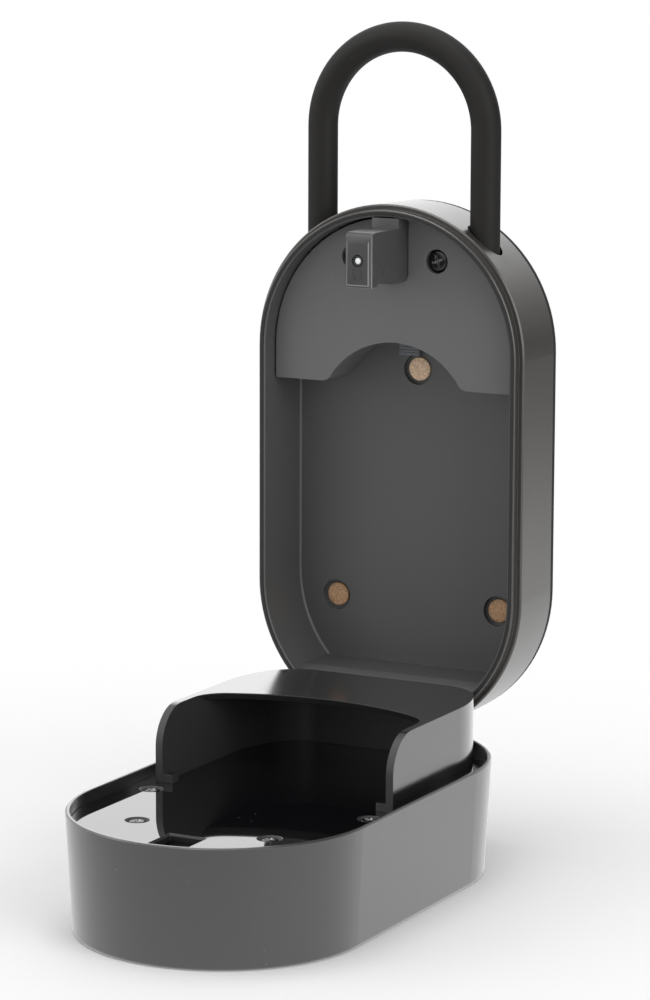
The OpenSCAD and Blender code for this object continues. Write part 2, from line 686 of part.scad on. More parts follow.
bush_r = 2.3;
module hinge_bushes() color("#d8d4c8") in_housing() translate([0, -hinge_up, hinge_back]) for (s = [-1, 1]) difference() {
    union() {
        rod_x(bush_r, s > 0 ? barrel_x - 4 : -barrel_x - 0.1, s > 0 ? barrel_x + 0.1 : -barrel_x + 4);
        rod_x(3.4, s > 0 ? barrel_x + 0.02 : -lug_in + 0.1, s > 0 ? lug_in - 0.1 : -barrel_x - 0.02);
    }
    rod_x(pin_r + pin_gap, -case_w, case_w);
}

// Seal ring in the tongue's front groove, cut away where the hinge lugs pass
module rim_seal() color("#1b1a19") in_housing() difference() {
    translate([0, 0, -tongue_h - 0.2]) outline_prism(lip_out + tongue_t / 2 - seal_w / 2, seal_h + 0.2);
    translate([0, 0, -tongue_h - 1]) outline_prism(lip_out + tongue_t / 2 + seal_w / 2, seal_h + 2);
    slab(-lug_in - lug_t - 0.5, lug_in + lug_t + 0.5, -1, hinge_up, -tongue_h - 1, 1);
}

// Outline of the mechanism cover: the housing's upper part with an arched foot
module cover_outline(grow = 0) {
    q = arch_round - grow;
    foot = cover_foot + grow;
    r = arch_r + grow;
    c = [sqrt(pow(r + q, 2) - pow(foot + q - arch_up, 2)), foot + q];
    // Where the arch meets the foot line, and where the corner's round begins on the arch
    meet = sqrt(r * r - pow(foot - arch_up, 2));
    on_arch = [c[0], c[1] - arch_up] * (r - 0.6) / (r + q) + [0, arch_up];
    difference() {
        intersection() {
            outline(housing_wall + 0.65);
            translate([-case_w, -case_l]) square([2 * case_w, case_l - foot]);
        }
        translate([0, -arch_up]) circle(r);
        for (s = [-1, 1]) difference() {
            polygon([[s * c[0], -c[1]], [s * c[0], 1 - foot], [s * (meet - 1), 1 - foot], [s * on_arch[0], -on_arch[1]]]);
            translate([s * c[0], -c[1]]) circle(q, $fn = fine);
        }
    }
}

module mechanism_cover() color("#68686a") in_housing() difference() {
    union() {
        translate([0, 0, cover_face]) linear_extrude(cover_t) cover_outline();
        translate([0, 0, cover_face]) intersection() {
            linear_extrude(cavity_d - 0.1 - cover_face) difference() {
                cover_outline();
                cover_outline(skirt_t);
            }
            translate([0, 0, -cover_face]) outline_prism(housing_wall + cavity_draft + cavity_edge + 0.2, housing_d);
        }
        for (s = [-1, 1]) translate([s * cover_screw[0], -cover_screw[1], cover_face])
            cylinder(r = 4.4, h = cup_d - cover_face, $fn = fine);
    }
    for (s = [-1, 1]) translate([s * cover_screw[0], -cover_screw[1], 0]) {
        cylinder(r = 3.5, h = cup_d - 1, $fn = fine);
        cylinder(r = 1.6, h = housing_d, $fn = fine);
    }
    slab(-striker_w / 2 - fit, striker_w / 2 + fit, striker_foot + 1.6 - fit, case_l, 0, cavity_d);
    slab(-tab_x - 0.5, tab_x + 0.5, arch_up, cover_foot + 22, slider_front - 0.8, cavity_d);
    // Room for the feet of the shackle's sleeve
    for (s = [-1, 1]) translate([s * leg_x, 0, leg_back]) rod_up(sleeve_r + 0.25, sleeve_foot - 1, case_l);
}

module cover_screws() color("#1c1c1e") in_housing()
    for (s = [-1, 1]) translate([s * cover_screw[0], -cover_screw[1], cup_d - 2.7]) rotate([180, 0, 0])
        screw(3.2, 1.7, 1.18, 9);

// Striker: a nose with a notch in its underside, on a foot that stands on the housing's back
module striker() color("#5b5b5d") in_housing() {
    foot = cavity_d - 2;
    round_r = 3;
    heel = 1.6;
    edge = 0.8;
    half = striker_w / 2;
    nose = concat([[-striker_out, striker_foot + 0.8], [-striker_out + 0.8, striker_foot],
        [notch_mid - 4.4, striker_foot], [notch_mid - 0.4, striker_foot + notch_h],
        [notch_mid + 0.4, striker_foot + notch_h], [notch_mid + 4.9, striker_foot]],
        bend([cover_face - heel, striker_foot + heel], heel, -90, 0, 5), [[foot, striker_foot + heel],
        [foot, case_l - 5], [8, case_l - housing_wall - cavity_draft - 0.2], [-tongue_h - 0.4, case_l - housing_wall - 0.3],
        [-tongue_h - 0.4, striker_head]],
        bend([-striker_out + round_r, striker_head - round_r], round_r, 90, 180, 6));
    difference() {
        union() {
            intersection() {
                translate([-half, 0, 0]) rotate([90, 0, 90]) linear_extrude(striker_w)
                    polygon([for (p = nose) [-p[1], p[0]]]);
                // Chamfers on the nose's two upright edges
                rotate([90, 0, 0]) linear_extrude(case_l) polygon([[-half + edge, -striker_out], [half - edge, -striker_out],
                    [half, -striker_out + edge], [half, cavity_d], [-half, cavity_d], [-half, -striker_out + edge]]);
            }
            slab(-half - 3.3, half + 3.3, striker_foot + heel, case_l - 7, foot - eps, cavity_d);
        }
        // Seat of the magnet, and the shallow thumb-shaped relief below it
        translate([0, -magnet_up, -striker_out - 1]) cylinder(r = 1.8, h = 1.5, $fn = fine);
        translate([0, -magnet_up, -striker_out - 1]) cylinder(r = 1.02, h = 3.5, $fn = fine);
        translate([0, 0, -striker_out - 1]) {
            translate([0, -(striker_foot + 3.4), 0]) cylinder(r = 1.5, h = 1.3, $fn = fine);
            slab(-1.5, 1.5, striker_foot + 3.4, striker_foot + 5.2, 0, 1.3);
        }
        for (u = striker_holes) translate([0, -u, cavity_d - 9]) cylinder(r = 1.3, h = 10, $fn = fine);
    }
}

module striker_screws() color("#b9bbbd") in_housing()
    for (u = striker_holes) translate([0, -u, housing_d]) screw(3.2, 1.5, 1.28, 8, true);

module striker_magnet() color("#f2f2ee") in_housing() translate([0, -magnet_up, -striker_out + 0.2])
    cylinder(r = 1, h = 2, $fn = fine);

module hole_seals() color("#a58a70") in_housing()
    for (p = holes()) translate([p[0], -p[1], seal_back - seal_t]) cylinder(r = seal_r, h = seal_t, $fn = fine);

// Steel washers that carry the wall screws
module fixing_washers() color("#b9bbbd") in_housing() for (p = holes()) translate([p[0], -p[1], seal_back]) difference() {
    cylinder(r = washer_r, h = washer_t, $fn = fine);
    translate([0, 0, -1]) cylinder(r = washer_bore_r, h = washer_t + 2, $fn = fine);
}

module rear_pad() color("#141414") in_housing() difference() {
    translate([0, 0, housing_d]) outline_prism(housing_draft + 0.1, pad_t);
    for (p = holes()) translate([p[0], -p[1], 0]) cylinder(r = washer_r + 0.1, h = housing_d + pad_t + 1, $fn = fine);
}

// Shackle lock

// Chassis with the two leg guides, the slider's rails and its rear runners
module lock_chassis() color("#77787a") in_housing() difference() {
    base = cavity_d - chassis_t;
    union() {
        intersection() {
            slab(-chassis_x, chassis_x, chassis_foot, chassis_top, base, cavity_d);
            outline_prism(housing_wall + cavity_draft + cavity_edge + 0.3, housing_d);
        }
        for (s = [-1, 1]) {
            slab(s > 0 ? guide_in : -guide_out, s > 0 ? guide_out : -guide_in, guide_foot, guide_top,
                cover_face + cover_t + 0.2, base + eps);
            slab(s > 0 ? slider_x + 0.3 : -slider_x - 1.9, s > 0 ? slider_x + 1.9 : -slider_x - 0.3,
                slider_foot + 1, lock_up + 8, slider_front + 0.2, base + eps);
            slab(s > 0 ? 9 : -10.5, s > 0 ? 10.5 : -9, slider_foot + 1, lock_up + 8, slider_front + slider_t + 0.3, base + eps);
        }
    }
    translate([0, -arch_up, 0]) cylinder(r = arch_r + skirt_t + 0.3, h = housing_d);
    for (s = [-1, 1]) {
        translate([s * leg_x, 0, leg_back]) rod_up(core_r + 0.1, leg_foot - 0.3, guide_top + 1);
        slab(s > 0 ? guide_in - 1 : -leg_x, s > 0 ? leg_x : -guide_in + 1, lock_up - bar_h / 2 - fit,
            lock_up + bar_h / 2 + fit, bar_back - bar_d - fit, bar_back + fit);
        translate([s * chassis_hole[0], -chassis_hole[1], 0]) cylinder(r = 1.3, h = housing_d, $fn = fine);
    }
    for (s = [-1, 1]) translate([s * cover_screw[0], -cover_screw[1], 0]) cylinder(r = 3.7, h = housing_d, $fn = fine);
    slab(-striker_w / 2 - 3.6, striker_w / 2 + 3.6, striker_foot - 2, case_l, 0, housing_d);
}

module chassis_screws() color("#b9bbbd") in_housing()
    for (s = [-1, 1]) translate([s * chassis_hole[0], -chassis_hole[1], cavity_d - chassis_t - 1.2]) rotate([180, 0, 0])
        screw(2.1, 1.2, 1.08, 3.4);

// Leaf behind the slider that holds it at either end of its travel
module detent_spring() color("#c9ccd0") in_housing() {
    back = cavity_d - chassis_t;
    slab(-2.5, 2.5, lock_up - 8, lock_up - 5, back - 0.4, back);
    slab(-1.5, 1.5, lock_up - 5.2, lock_up + 3, back - 0.8, back - 0.4);
    translate([0, -(lock_up + 1), back - 0.8]) intersection() {
        rod_x(0.5, -1.5, 1.5);
        translate([-2, -1, -1]) cube([4, 2, 1 + eps]);
    }
}

// Slider with two slanted slots that drive the lock bolts, and a ribbed thumb tab
module release_slider() color("#6d7073") in_housing() difference() {
    notch_x = striker_w / 2 + 0.7;
    union() {
        slab(-slider_x, slider_x, slider_foot, slider_top, slider_front, slider_front + slider_t);
        slab(-tab_x, tab_x, tab_foot, slider_foot + 1, slider_front, slider_front + slider_t);
        for (i = [0:4]) slab(-tab_x, tab_x, tab_foot + 0.3 + i * 0.85, tab_foot + 0.75 + i * 0.85,
            slider_front - 0.15, slider_front + eps);
    }
    for (s = [-1, 1]) {
        slot_r = peg_r + peg_gap;
        hull_l = slide_travel + 0.4;
        for (t = [0.2, -hull_l + 0.2]) translate([s * (peg_x - slope * t), -(lock_up + t), slider_front - 1])
            cylinder(r = slot_r, h = slider_t + 2, $fn = fine);
        translate([s * (peg_x - slope * 0.2), -(lock_up + 0.2), slider_front - 1]) rotate(-s * atan(slope))
            translate([-slot_r, 0, 0]) cube([2 * slot_r, hull_l * sqrt(1 + slope * slope), slider_t + 2]);
    }
    slab(-notch_x, notch_x, slider_top - 3, slider_top + 1, 0, housing_d);
}

module lock_bolt() {
    slab(bar_root, bar_tip, lock_up - bar_h / 2, lock_up + bar_h / 2, bar_back - bar_d, bar_back);
    translate([peg_x, -lock_up, bar_back - eps]) cylinder(r = peg_r, h = slider_front + slider_t - 0.2 - bar_back, $fn = fine);
}
module lock_bolt_left() color("#8f9396") in_housing() mirror([1, 0, 0]) lock_bolt();
module lock_bolt_right() color("#8f9396") in_housing() lock_bolt();

// Shackle: a steel core bent to a U, with a soft sleeve over all that shows

// A U of the given radius whose legs end at a height
module shackle_bow(r, foot) {
    for (s = [-1, 1]) translate([s * leg_x, 0, leg_back]) rod_up(r, foot, bend_up);
    translate([0, -bend_up, leg_back]) rotate([0, 0, 180]) rotate_extrude(angle = 180) translate([leg_x, 0]) circle(r, $fn = fine);
}

module shackle_core() color("#b4b7ba") in_housing() difference() {
    shackle_bow(core_r, leg_foot);
    for (s = [-1, 1]) slab(s > 0 ? 0 : -bar_tip - lock_travel - 0.4, s > 0 ? bar_tip + lock_travel + 0.4 : 0,
        lock_up - bar_h / 2 - 0.6, lock_up + bar_h / 2 + 0.6, 0, housing_d);
}

module shackle_sleeve() color("#2d2a28") in_housing() difference() {
    shackle_bow(sleeve_r, sleeve_foot);
    shackle_bow(core_r + 0.02, sleeve_foot - 1);
}

door_shell();
touch_window();
light_pipe();
inner_panel();
panel_screws();
key_hood();
hood_screws();
hinge_bracket();
bracket_screws();
hinge_pin();
circuit_board();
board_screws();
radio_module();
status_led();
door_sensor();
battery_cradle();
battery_cells();
battery_contacts();
gear_motor();
motor_clamp();
bolt_guide();
lead_screw();
latch_bolt();
housing_shell();
hinge_bushes();
rim_seal();
mechanism_cover();
cover_screws();
striker();
striker_screws();
striker_magnet();
hole_seals();
fixing_washers();
rear_pad();
lock_chassis();
chassis_screws();
detent_spring();
release_slider();
lock_bolt_left();
lock_bolt_right();
shackle_core();
shackle_sleeve();
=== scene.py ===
# %% [markdown]
# # Dressing a smart key safe
# The safe lies open: a pill-shaped door on its face, and a wall housing that stands up behind it.
# Its exact solids were made in CAD. Here they get finishes, the small parts that CAD leaves plain,
# a camera and light.

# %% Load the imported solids
import math
import bmesh
import bpy
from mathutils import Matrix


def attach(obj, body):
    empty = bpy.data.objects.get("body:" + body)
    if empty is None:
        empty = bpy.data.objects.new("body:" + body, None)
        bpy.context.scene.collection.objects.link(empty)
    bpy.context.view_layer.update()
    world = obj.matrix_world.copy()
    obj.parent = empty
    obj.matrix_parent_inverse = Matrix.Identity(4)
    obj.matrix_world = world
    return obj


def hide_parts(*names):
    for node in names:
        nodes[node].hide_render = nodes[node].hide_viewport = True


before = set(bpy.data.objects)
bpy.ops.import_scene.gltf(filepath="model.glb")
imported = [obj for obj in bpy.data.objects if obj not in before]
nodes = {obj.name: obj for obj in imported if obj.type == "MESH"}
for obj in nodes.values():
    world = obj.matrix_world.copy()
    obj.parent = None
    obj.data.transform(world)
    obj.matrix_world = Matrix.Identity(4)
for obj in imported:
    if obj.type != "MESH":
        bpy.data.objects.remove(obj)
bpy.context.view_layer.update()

from types import SimpleNamespace
from mathutils import Matrix, Vector

# %% [markdown]
# ## Places and directions
# The lying door is measured from the origin on the table, and the standing housing from its own
# foot and rim, as on its drawing. Two small helpers turn such a place, in millimetres, into
# Blender's metres, so every later number can be read next to a ruler laid on the real thing. A
# part is modelled upright at the origin, and one of four turns then says which way it faces.

# %% Places on the door and on the housing
MM = 0.001
RIM_Y = 58.2
HOUSING_FOOT_Z = 34.0


def on_door(x, y, z):
    """x runs to the right, y to the back, z up from the table."""
    return Vector((x, y, z)) * MM


def on_housing(x, u, d):
    """u runs up from the housing's foot, d back from its rim."""
    return Vector((x, RIM_Y + d, HOUSING_FOOT_Z + u)) * MM


DOOR_UP = Matrix.Identity(3)
DOOR_DOWN = Matrix(((1, 0, 0), (0, -1, 0), (0, 0, -1)))
HOUSING_OUT = Matrix(((1, 0, 0), (0, 0, -1), (0, 1, 0)))
HOUSING_BACK = Matrix(((1, 0, 0), (0, 0, 1), (0, -1, 0)))
print("striker tip at", [round(v, 4) for v in on_housing(0, 140, -20)])

# %% [markdown]
# ## The camera
# The picture was taken with a long lens from about a metre away, a little to the right of the safe
# and above it. The place, the three angles and the focal length come from a least-squares fit of
# the object's edges to the photograph. The three direction vectors are written straight into the
# camera's matrix, because that leaves no order of rotations to get wrong.

# %% Set up the camera
YAW, PITCH, ROLL = (math.radians(a) for a in (27.837, -9.878, 0.195))
CAMERA_PLACE = Vector((489.8, -908.3, 291.3)) * MM
look = Vector((-math.sin(YAW) * math.cos(PITCH), math.cos(YAW) * math.cos(PITCH), math.sin(PITCH)))
level = Vector((math.cos(YAW), math.sin(YAW), 0))
head = level.cross(look)
across = math.cos(ROLL) * level + math.sin(ROLL) * head
upward = math.cos(ROLL) * head - math.sin(ROLL) * level

lens = bpy.data.cameras.new("studio_camera")
lens.sensor_fit = "AUTO"
lens.sensor_width = 36
lens.lens = 137.47
lens.clip_start, lens.clip_end = 0.05, 60
camera = bpy.data.objects.new("studio_camera", lens)
bpy.context.scene.collection.objects.link(camera)
facing_out = Matrix((across, upward, -look)).transposed().to_4x4()
camera.matrix_world = Matrix.Translation(CAMERA_PLACE) @ facing_out
bpy.context.scene.camera = camera
bpy.context.scene.view_settings.view_transform = "Standard"
print("camera looks along", [round(v, 3) for v in look])

# %% [markdown]
# ## Node groups that several finishes share
# Moulded plastic, rubber and metal all need the same few effects: a fine skin, uneven gloss from
# hands, and edges that catch light. Each effect is one shader node group with named sockets, built
# once and placed in each material with its own values. A group only puts out values and normals,
# and the shader itself stays in the material, so that the finish can be exported. A few short
# helpers place the nodes that come again and again, and keep each effect to a few lines.

# %% Helpers that place nodes
def node_tools(tree):
    """Helpers that place nodes in one tree, each with its inputs wired."""
    def node(kind, inputs=None, **settings):
        """Places one node; each input is a number, a vector or the socket that feeds it."""
        placed = tree.nodes.new("ShaderNode" + kind)
        for name, value in settings.items():
            setattr(placed, name, value)
        for socket, value in (inputs or {}).items():
            if isinstance(value, bpy.types.NodeSocket):
                tree.links.new(value, placed.inputs[socket])
            else:
                placed.inputs[socket].default_value = value
        return placed

    def place():
        """The place on the object, in metres."""
        return node("TexCoord").outputs["Object"]

    def noise(at, per_metre, detail=2.0, roughness=0.5):
        """Soft noise, with this many bumps in a metre."""
        inputs = {"Vector": at, "Scale": per_metre, "Detail": detail, "Roughness": roughness}
        return node("TexNoise", inputs).outputs[0]

    def maths(operation, *terms):
        """The result of a Math node."""
        return node("Math", dict(enumerate(terms)), operation=operation).outputs[0]

    def ramp(value, low, high, at_low=0.0, at_high=1.0, **settings):
        """Goes from at_low to at_high while the value goes from low to high, and no further."""
        ends = {"Value": value, "From Min": low, "From Max": high, "To Min": at_low, "To Max": at_high}
        return node("MapRange", ends, **settings).outputs[0]

    def mix(factor, first, second, **settings):
        """The first colour where the factor is 0, the second where it is 1."""
        first, second = (colour if isinstance(colour, bpy.types.NodeSocket) else (*colour, 1)
                         for colour in (first, second))
        ends = {"Factor": factor, "A": first, "B": second}
        return node("Mix", ends, data_type="RGBA", **settings).outputs["Result"]

    return SimpleNamespace(node=node, place=place, noise=noise, maths=maths, ramp=ramp, mix=mix)


# %% Helpers that start and end a node group
FLOAT, VECTOR = "NodeSocketFloat", "NodeSocketVector"


def start_group(name, inputs, outputs):
    """An empty shader group with its sockets, and the node that gives its inputs."""
    group = bpy.data.node_groups.new(name, "ShaderNodeTree")
    for label, kind, value in inputs:
        group.interface.new_socket(label, in_out="INPUT", socket_type=kind).default_value = value
    for label, kind in outputs:
        group.interface.new_socket(label, in_out="OUTPUT", socket_type=kind)
    return group, group.nodes.new("NodeGroupInput").outputs


def end_group(group, **results):
    """Feeds each output of the group."""
    out = group.nodes.new("NodeGroupOutput")
    for label, socket in results.items():
        group.links.new(socket, out.inputs[label])
    print("group", group.name, "with", len(group.nodes), "nodes")


# %% [markdown]
# ### Moulded skin
# The tool that moulds a plastic case is spark-eroded or blasted, and leaves a skin of tiny bumps
# about a fifth of a millimetre across, over a very slight waviness where the wall shrank. Two
# layers of noise in object coordinates give both heights at their real scale.

# %% Group: moulded skin
WAVES_PER_METRE, WAVE_HEIGHT = 55.0, 6.0
skin, given = start_group("moulded_skin",
                          [("Grain size", FLOAT, 0.25), ("Waviness", FLOAT, 1.0)],
                          [("Height", FLOAT), ("Tone", FLOAT)])
put = node_tools(skin)
place = put.place()
grains_per_metre = put.maths("DIVIDE", 1000.0, given["Grain size"])
fine = put.noise(place, grains_per_metre, roughness=0.6)
waves = put.maths("MULTIPLY", put.noise(place, WAVES_PER_METRE), given["Waviness"])
end_group(skin, Height=put.maths("MULTIPLY_ADD", waves, WAVE_HEIGHT, fine), Tone=fine)

# %% [markdown]
# ### Handling
# A case that is opened every day isn't evenly satin. Fingers polish it in patches and leave a
# few faint smears, and a little dust stays in the texture. One soft noise makes patches, a
# stretched one makes smears, and a sparse Voronoi pattern makes single specks of dust.

# %% Group: handling
PATCHES, SMEARS, SPECKS, DUSTY_SPOTS = 38.0, 60.0, 330.0, 90.0
SMEAR_TURN, SMEAR_STRETCH = (0.5, 0.4, 0.7), (1.0, 4.5, 1.0)
SPECK_RADIUS, DUSTY_FROM, DUSTY_FULL = 0.09, 0.56, 0.7
handling, given = start_group("handling",
                              [("Roughness", FLOAT, 0.4), ("Spread", FLOAT, 0.08), ("Dust", FLOAT, 0.5)],
                              [("Roughness", FLOAT), ("Dust", FLOAT)])
put = node_tools(handling)
place = put.place()
patches = put.noise(place, PATCHES, 4.0, 0.55)
slanted = put.node("Mapping", {"Vector": place, "Rotation": SMEAR_TURN, "Scale": SMEAR_STRETCH}).outputs[0]
smears = put.noise(slanted, SMEARS, 5.0, 0.65)
centred = put.maths("SUBTRACT", put.maths("ADD", patches, smears), 1.0)
uneven = put.maths("MULTIPLY_ADD", centred, given["Spread"], given["Roughness"])
distance = put.node("TexVoronoi", {"Vector": place, "Scale": SPECKS}, feature="F1").outputs["Distance"]
specks = put.ramp(distance, 0.0, SPECK_RADIUS, 1.0, 0.0)
spots = put.ramp(put.noise(place, DUSTY_SPOTS), DUSTY_FROM, DUSTY_FULL)
dust = put.maths("MULTIPLY", put.maths("MULTIPLY", specks, spots), given["Dust"])
end_group(handling, Roughness=uneven, Dust=dust)

# %% [markdown]
# ### Edges
# No moulded or milled edge is perfectly sharp. The Bevel node looks a fraction of a millimetre round each
# point and gives the normal of a softened edge, which makes a thin highlight without changing a solid.
# Where that normal differs from the true one there is an edge, and that difference is the mask for a
# lighter edge colour: partly wear, and partly a painted highlight along the edges.

# %% Group: soft edge
NO_EDGE, FULL_EDGE = 0.995, 0.8
soft_edge, given = start_group("soft_edge", [("Radius mm", FLOAT, 0.3)],
                               [("Normal", VECTOR), ("Edge", FLOAT)])
put = node_tools(soft_edge)
rounded = put.node("Bevel", {"Radius": put.maths("MULTIPLY", given["Radius mm"], MM)}, samples=4).outputs[0]
true = put.node("NewGeometry").outputs["Normal"]
same = put.node("VectorMath", {0: rounded, 1: true}, operation="DOT_PRODUCT").outputs["Value"]
end_group(soft_edge, Normal=rounded, Edge=put.ramp(same, NO_EDGE, FULL_EDGE))

# %% [markdown]
# ### Drawn and turned metal
# Steel keeps the marks of the tool that shaped it. Noise squeezed along one axis gives drawn
# lines that way; a turned part has the same noise read round its axis. The group takes the
# stretch as a vector, so one group serves pins, bolts, screws and contacts.

# %% Group: tool marks
LINES_PER_METRE = 900.0
marks, given = start_group("tool_marks", [("Stretch", VECTOR, (1.0, 1.0, 1.0))],
                           [("Height", FLOAT), ("Shade", FLOAT)])
put = node_tools(marks)
pulled = put.node("VectorMath", {0: put.place(), 1: given["Stretch"]}, operation="MULTIPLY").outputs[0]
lines = put.noise(pulled, LINES_PER_METRE, 3.0, 0.7)
end_group(marks, Height=lines, Shade=lines)

# %% [markdown]
# ## Finishes
# Every finish below is one Principled shader that reads some of the groups. Constants, such as
# the metal's full metallic value or the clear plastic's coat, sit on the shader's own sockets.
# Only what changes over the surface is wired. A roughness near 0.27 is avoided, because the
# renderer's denoiser treats a surface differently on each side of it and draws the border.

# %% Helpers that read and feed a material's shader
def shader_socket(material, label):
    return material.node_tree.nodes["Principled BSDF"].inputs[label]


def what_feeds(material, label):
    return shader_socket(material, label).links[0].from_socket


def feed(material, label, source):
    material.node_tree.links.new(source, shader_socket(material, label))


def set_sockets(node, values):
    """Sets sockets by name, with _ for a space."""
    for label, value in values.items():
        node.inputs[label.replace("_", " ")].default_value = value


# %% The helper that makes a finish
DUST_GREY = (0.5, 0.5, 0.48)


def finish(name, colour, roughness, grain=0.25, bump=0.02, waviness=1.0, spread=0.08, dust=0.5,
           edge_mm=0.25, edge_colour=None, metal=0.0, stretch=None, tone=0.12, **sockets):
    """A plastic, rubber or metal finish. Lengths are in millimetres, colours are linear.

    tone is how far the colour varies, spread how far the gloss does. A stretch makes it metal
    with tool marks, and without one it has a moulded skin."""
    material = bpy.data.materials.new(name)
    material.use_nodes = True
    tree = material.node_tree
    put = node_tools(tree)

    def use(group, **values):
        node = tree.nodes.new("ShaderNodeGroup")
        node.node_tree = group
        set_sockets(node, values)
        return node.outputs

    wear_and_highlight = use(soft_edge, Radius_mm=edge_mm)
    hands = use(handling, Roughness=roughness, Spread=spread, Dust=dust)
    if stretch:
        surface = use(marks, Stretch=stretch)
        shade = surface["Shade"]
    else:
        surface = use(skin, Grain_size=grain, Waviness=waviness)
        shade = surface["Tone"]
    base = put.mix(shade, [c * (1 - tone) for c in colour], [c * (1 + tone) for c in colour])
    # Edges get edge_colour, lighter than the body: partly wear, partly a painted highlight along the edges.
    worn_and_highlit = put.mix(wear_and_highlight["Edge"], base, edge_colour or [min(1, c * 1.5 + 0.01) for c in colour])
    bumps = put.node("Bump", {"Height": surface["Height"], "Normal": wear_and_highlight["Normal"],
                              "Strength": 1.0, "Distance": bump * MM})
    feed(material, "Base Color", put.mix(hands["Dust"], worn_and_highlit, DUST_GREY))
    feed(material, "Roughness", hands["Roughness"])
    feed(material, "Normal", bumps.outputs["Normal"])
    shader_socket(material, "Metallic").default_value = metal
    set_sockets(tree.nodes["Principled BSDF"], sockets)
    print("finish", name, "with", len(tree.nodes), "nodes")
    return material


def wears(material, *names):
    """Puts a finish on CAD nodes, in every material slot that they have."""
    for name in names:
        for slot in nodes[name].material_slots:
            slot.material = material


# %% [markdown]
# ### The case
# Door and housing are moulded from one dark anthracite plastic with a satin skin. Its gloss isn't
# a mirror, but it is smooth enough to draw the long light bands that run round the curved ends.
# The outside of the housing is a little warmer and lighter in tone than the door. The inside of the tray
# gets a lighter, neutral grey, which is painted light on the same plastic. A pill-shaped mask in object
# coordinates parts the two.

# %% Finishes of the case
SATIN_SKIN = {"grain": 0.22, "bump": 0.003, "waviness": 0.4, "spread": 0.06, "edge_mm": 0.22, "IOR": 1.6}
# Each edge_colour below is lighter than its body: a little wear and a painted highlight along the rims.
case = finish("satin_anthracite", (0.02, 0.02, 0.0192), 0.32, edge_colour=(0.05, 0.05, 0.049),
              Coat_Weight=1.0, Coat_IOR=1.6, Coat_Roughness=0.22, **SATIN_SKIN)
wears(case, "door_shell")
tray = finish("satin_tray", (0.034, 0.031, 0.0275), 0.32, edge_colour=(0.15, 0.145, 0.138),
              Coat_Weight=0.7, Coat_Roughness=0.26, **SATIN_SKIN)
wears(tray, "housing_shell")

# %% The inside of the tray, painted lighter
TRAY_MID_Z, TRAY_STRAIGHT, TONGUE_MID = 0.111, 0.0345, 0.0406
PAINTED_LIGHTER_INSIDE = (0.079, 0.079, 0.0785)
put = node_tools(tray.node_tree)
where = put.node("SeparateXYZ", {0: put.place()}).outputs
from_mid = put.maths("ABSOLUTE", put.maths("SUBTRACT", where["Z"], TRAY_MID_Z))
past_straight = put.maths("MAXIMUM", put.maths("SUBTRACT", from_mid, TRAY_STRAIGHT), 0.0)
pair = put.node("CombineXYZ", {"X": where["X"], "Y": past_straight}).outputs[0]
from_spine = put.node("VectorMath", {0: pair}, operation="LENGTH").outputs["Value"]
within = put.maths("LESS_THAN", from_spine, TONGUE_MID)
# The inside of the tray is painted a lighter grey than its outside: painted light.
feed(tray, "Base Color", put.mix(within, what_feeds(tray, "Base Color"), PAINTED_LIGHTER_INSIDE))
print("tray's inside ends", TONGUE_MID / MM, "mm from its spine")

# %% Finishes of the hood, the cover and the panel
# The hood's light edge_colour is a painted highlight along its edges.
hood_plastic = finish("satin_black", (0.011, 0.011, 0.0115), 0.2, grain=0.3, bump=0.0008, waviness=0.1,
                      spread=0.04, dust=0.8, edge_mm=0.3, edge_colour=(0.035, 0.035, 0.036),
                      IOR=1.6, Coat_IOR=1.6, Coat_Roughness=0.16)
wears(hood_plastic, "key_hood", "hinge_bracket")
cover_grey = finish("cover_grey", (0.122, 0.122, 0.125), 0.42, grain=0.2, bump=0.006, edge_mm=0.3)
wears(cover_grey, "mechanism_cover")
striker_grey = finish("striker_grey", (0.06, 0.06, 0.061), 0.32, grain=0.2, bump=0.004, edge_mm=0.1)
# A light grey for the bevels round the striker's nose: a painted highlight.
painted_nose_highlight = finish("painted_nose_highlight", (0.26, 0.26, 0.265), 0.35, grain=0.2, bump=0.002, edge_mm=0.1)
tab_grey = finish("tab_grey", (0.125, 0.13, 0.142), 0.4, grain=0.2, bump=0.005, edge_mm=0.2)
wears(tab_grey, "release_slider")
# The panel's light edge_colour is a painted highlight round its edges and its slot.
piano = finish("gloss_black", (0.005, 0.005, 0.006), 0.03, grain=2.5, bump=0.0004, waviness=0.1,
               spread=0.03, dust=1.0, edge_mm=0.15, edge_colour=(0.3, 0.3, 0.31),
               IOR=1.62, Coat_Weight=0.6, Coat_Roughness=0.02)
wears(piano, "inner_panel")
window_glass = finish("window_black", (0.004, 0.004, 0.005), 0.05, grain=3.0, bump=0.0005, waviness=0.1,
                      spread=0.04, dust=0.8, edge_mm=0.2, IOR=1.55, Coat_Weight=1.0, Coat_Roughness=0.02)
wears(window_glass, "touch_window")

# %% [markdown]
# ### Where the tool is polished
# A tool maker polishes only what shows. The panel is a mirror on its face, but its screw seats and the
# walls of its slot are left matt, and so is the inside of the hood. For the panel the mask is the height
# over the table. For the hood it is whether a face looks towards a point in front of the hood's opening,
# which also takes in its front edge; the flat tops of its feet are glossy. The inside of the tray uses its
# own pill-shaped mask. All three mix a rougher value in and take the clear coat away. The hood's mask also
# gives its inside a lighter base colour, which is painted light.

# %% Matt where the tool wasn't polished
def polished_where(material, mask, matt, coat):
    """Keeps the gloss and the coat where the mask is 1; matt is the roughness where it is 0."""
    put = node_tools(material.node_tree)
    glossy = what_feeds(material, "Roughness")
    rough = put.node("Mix", {"Factor": mask, "A": matt, "B": glossy}, data_type="FLOAT").outputs["Result"]
    feed(material, "Roughness", rough)
    feed(material, "Coat Weight", put.maths("MULTIPLY", mask, coat))
    print(material.name, "has a matt part of roughness", matt)


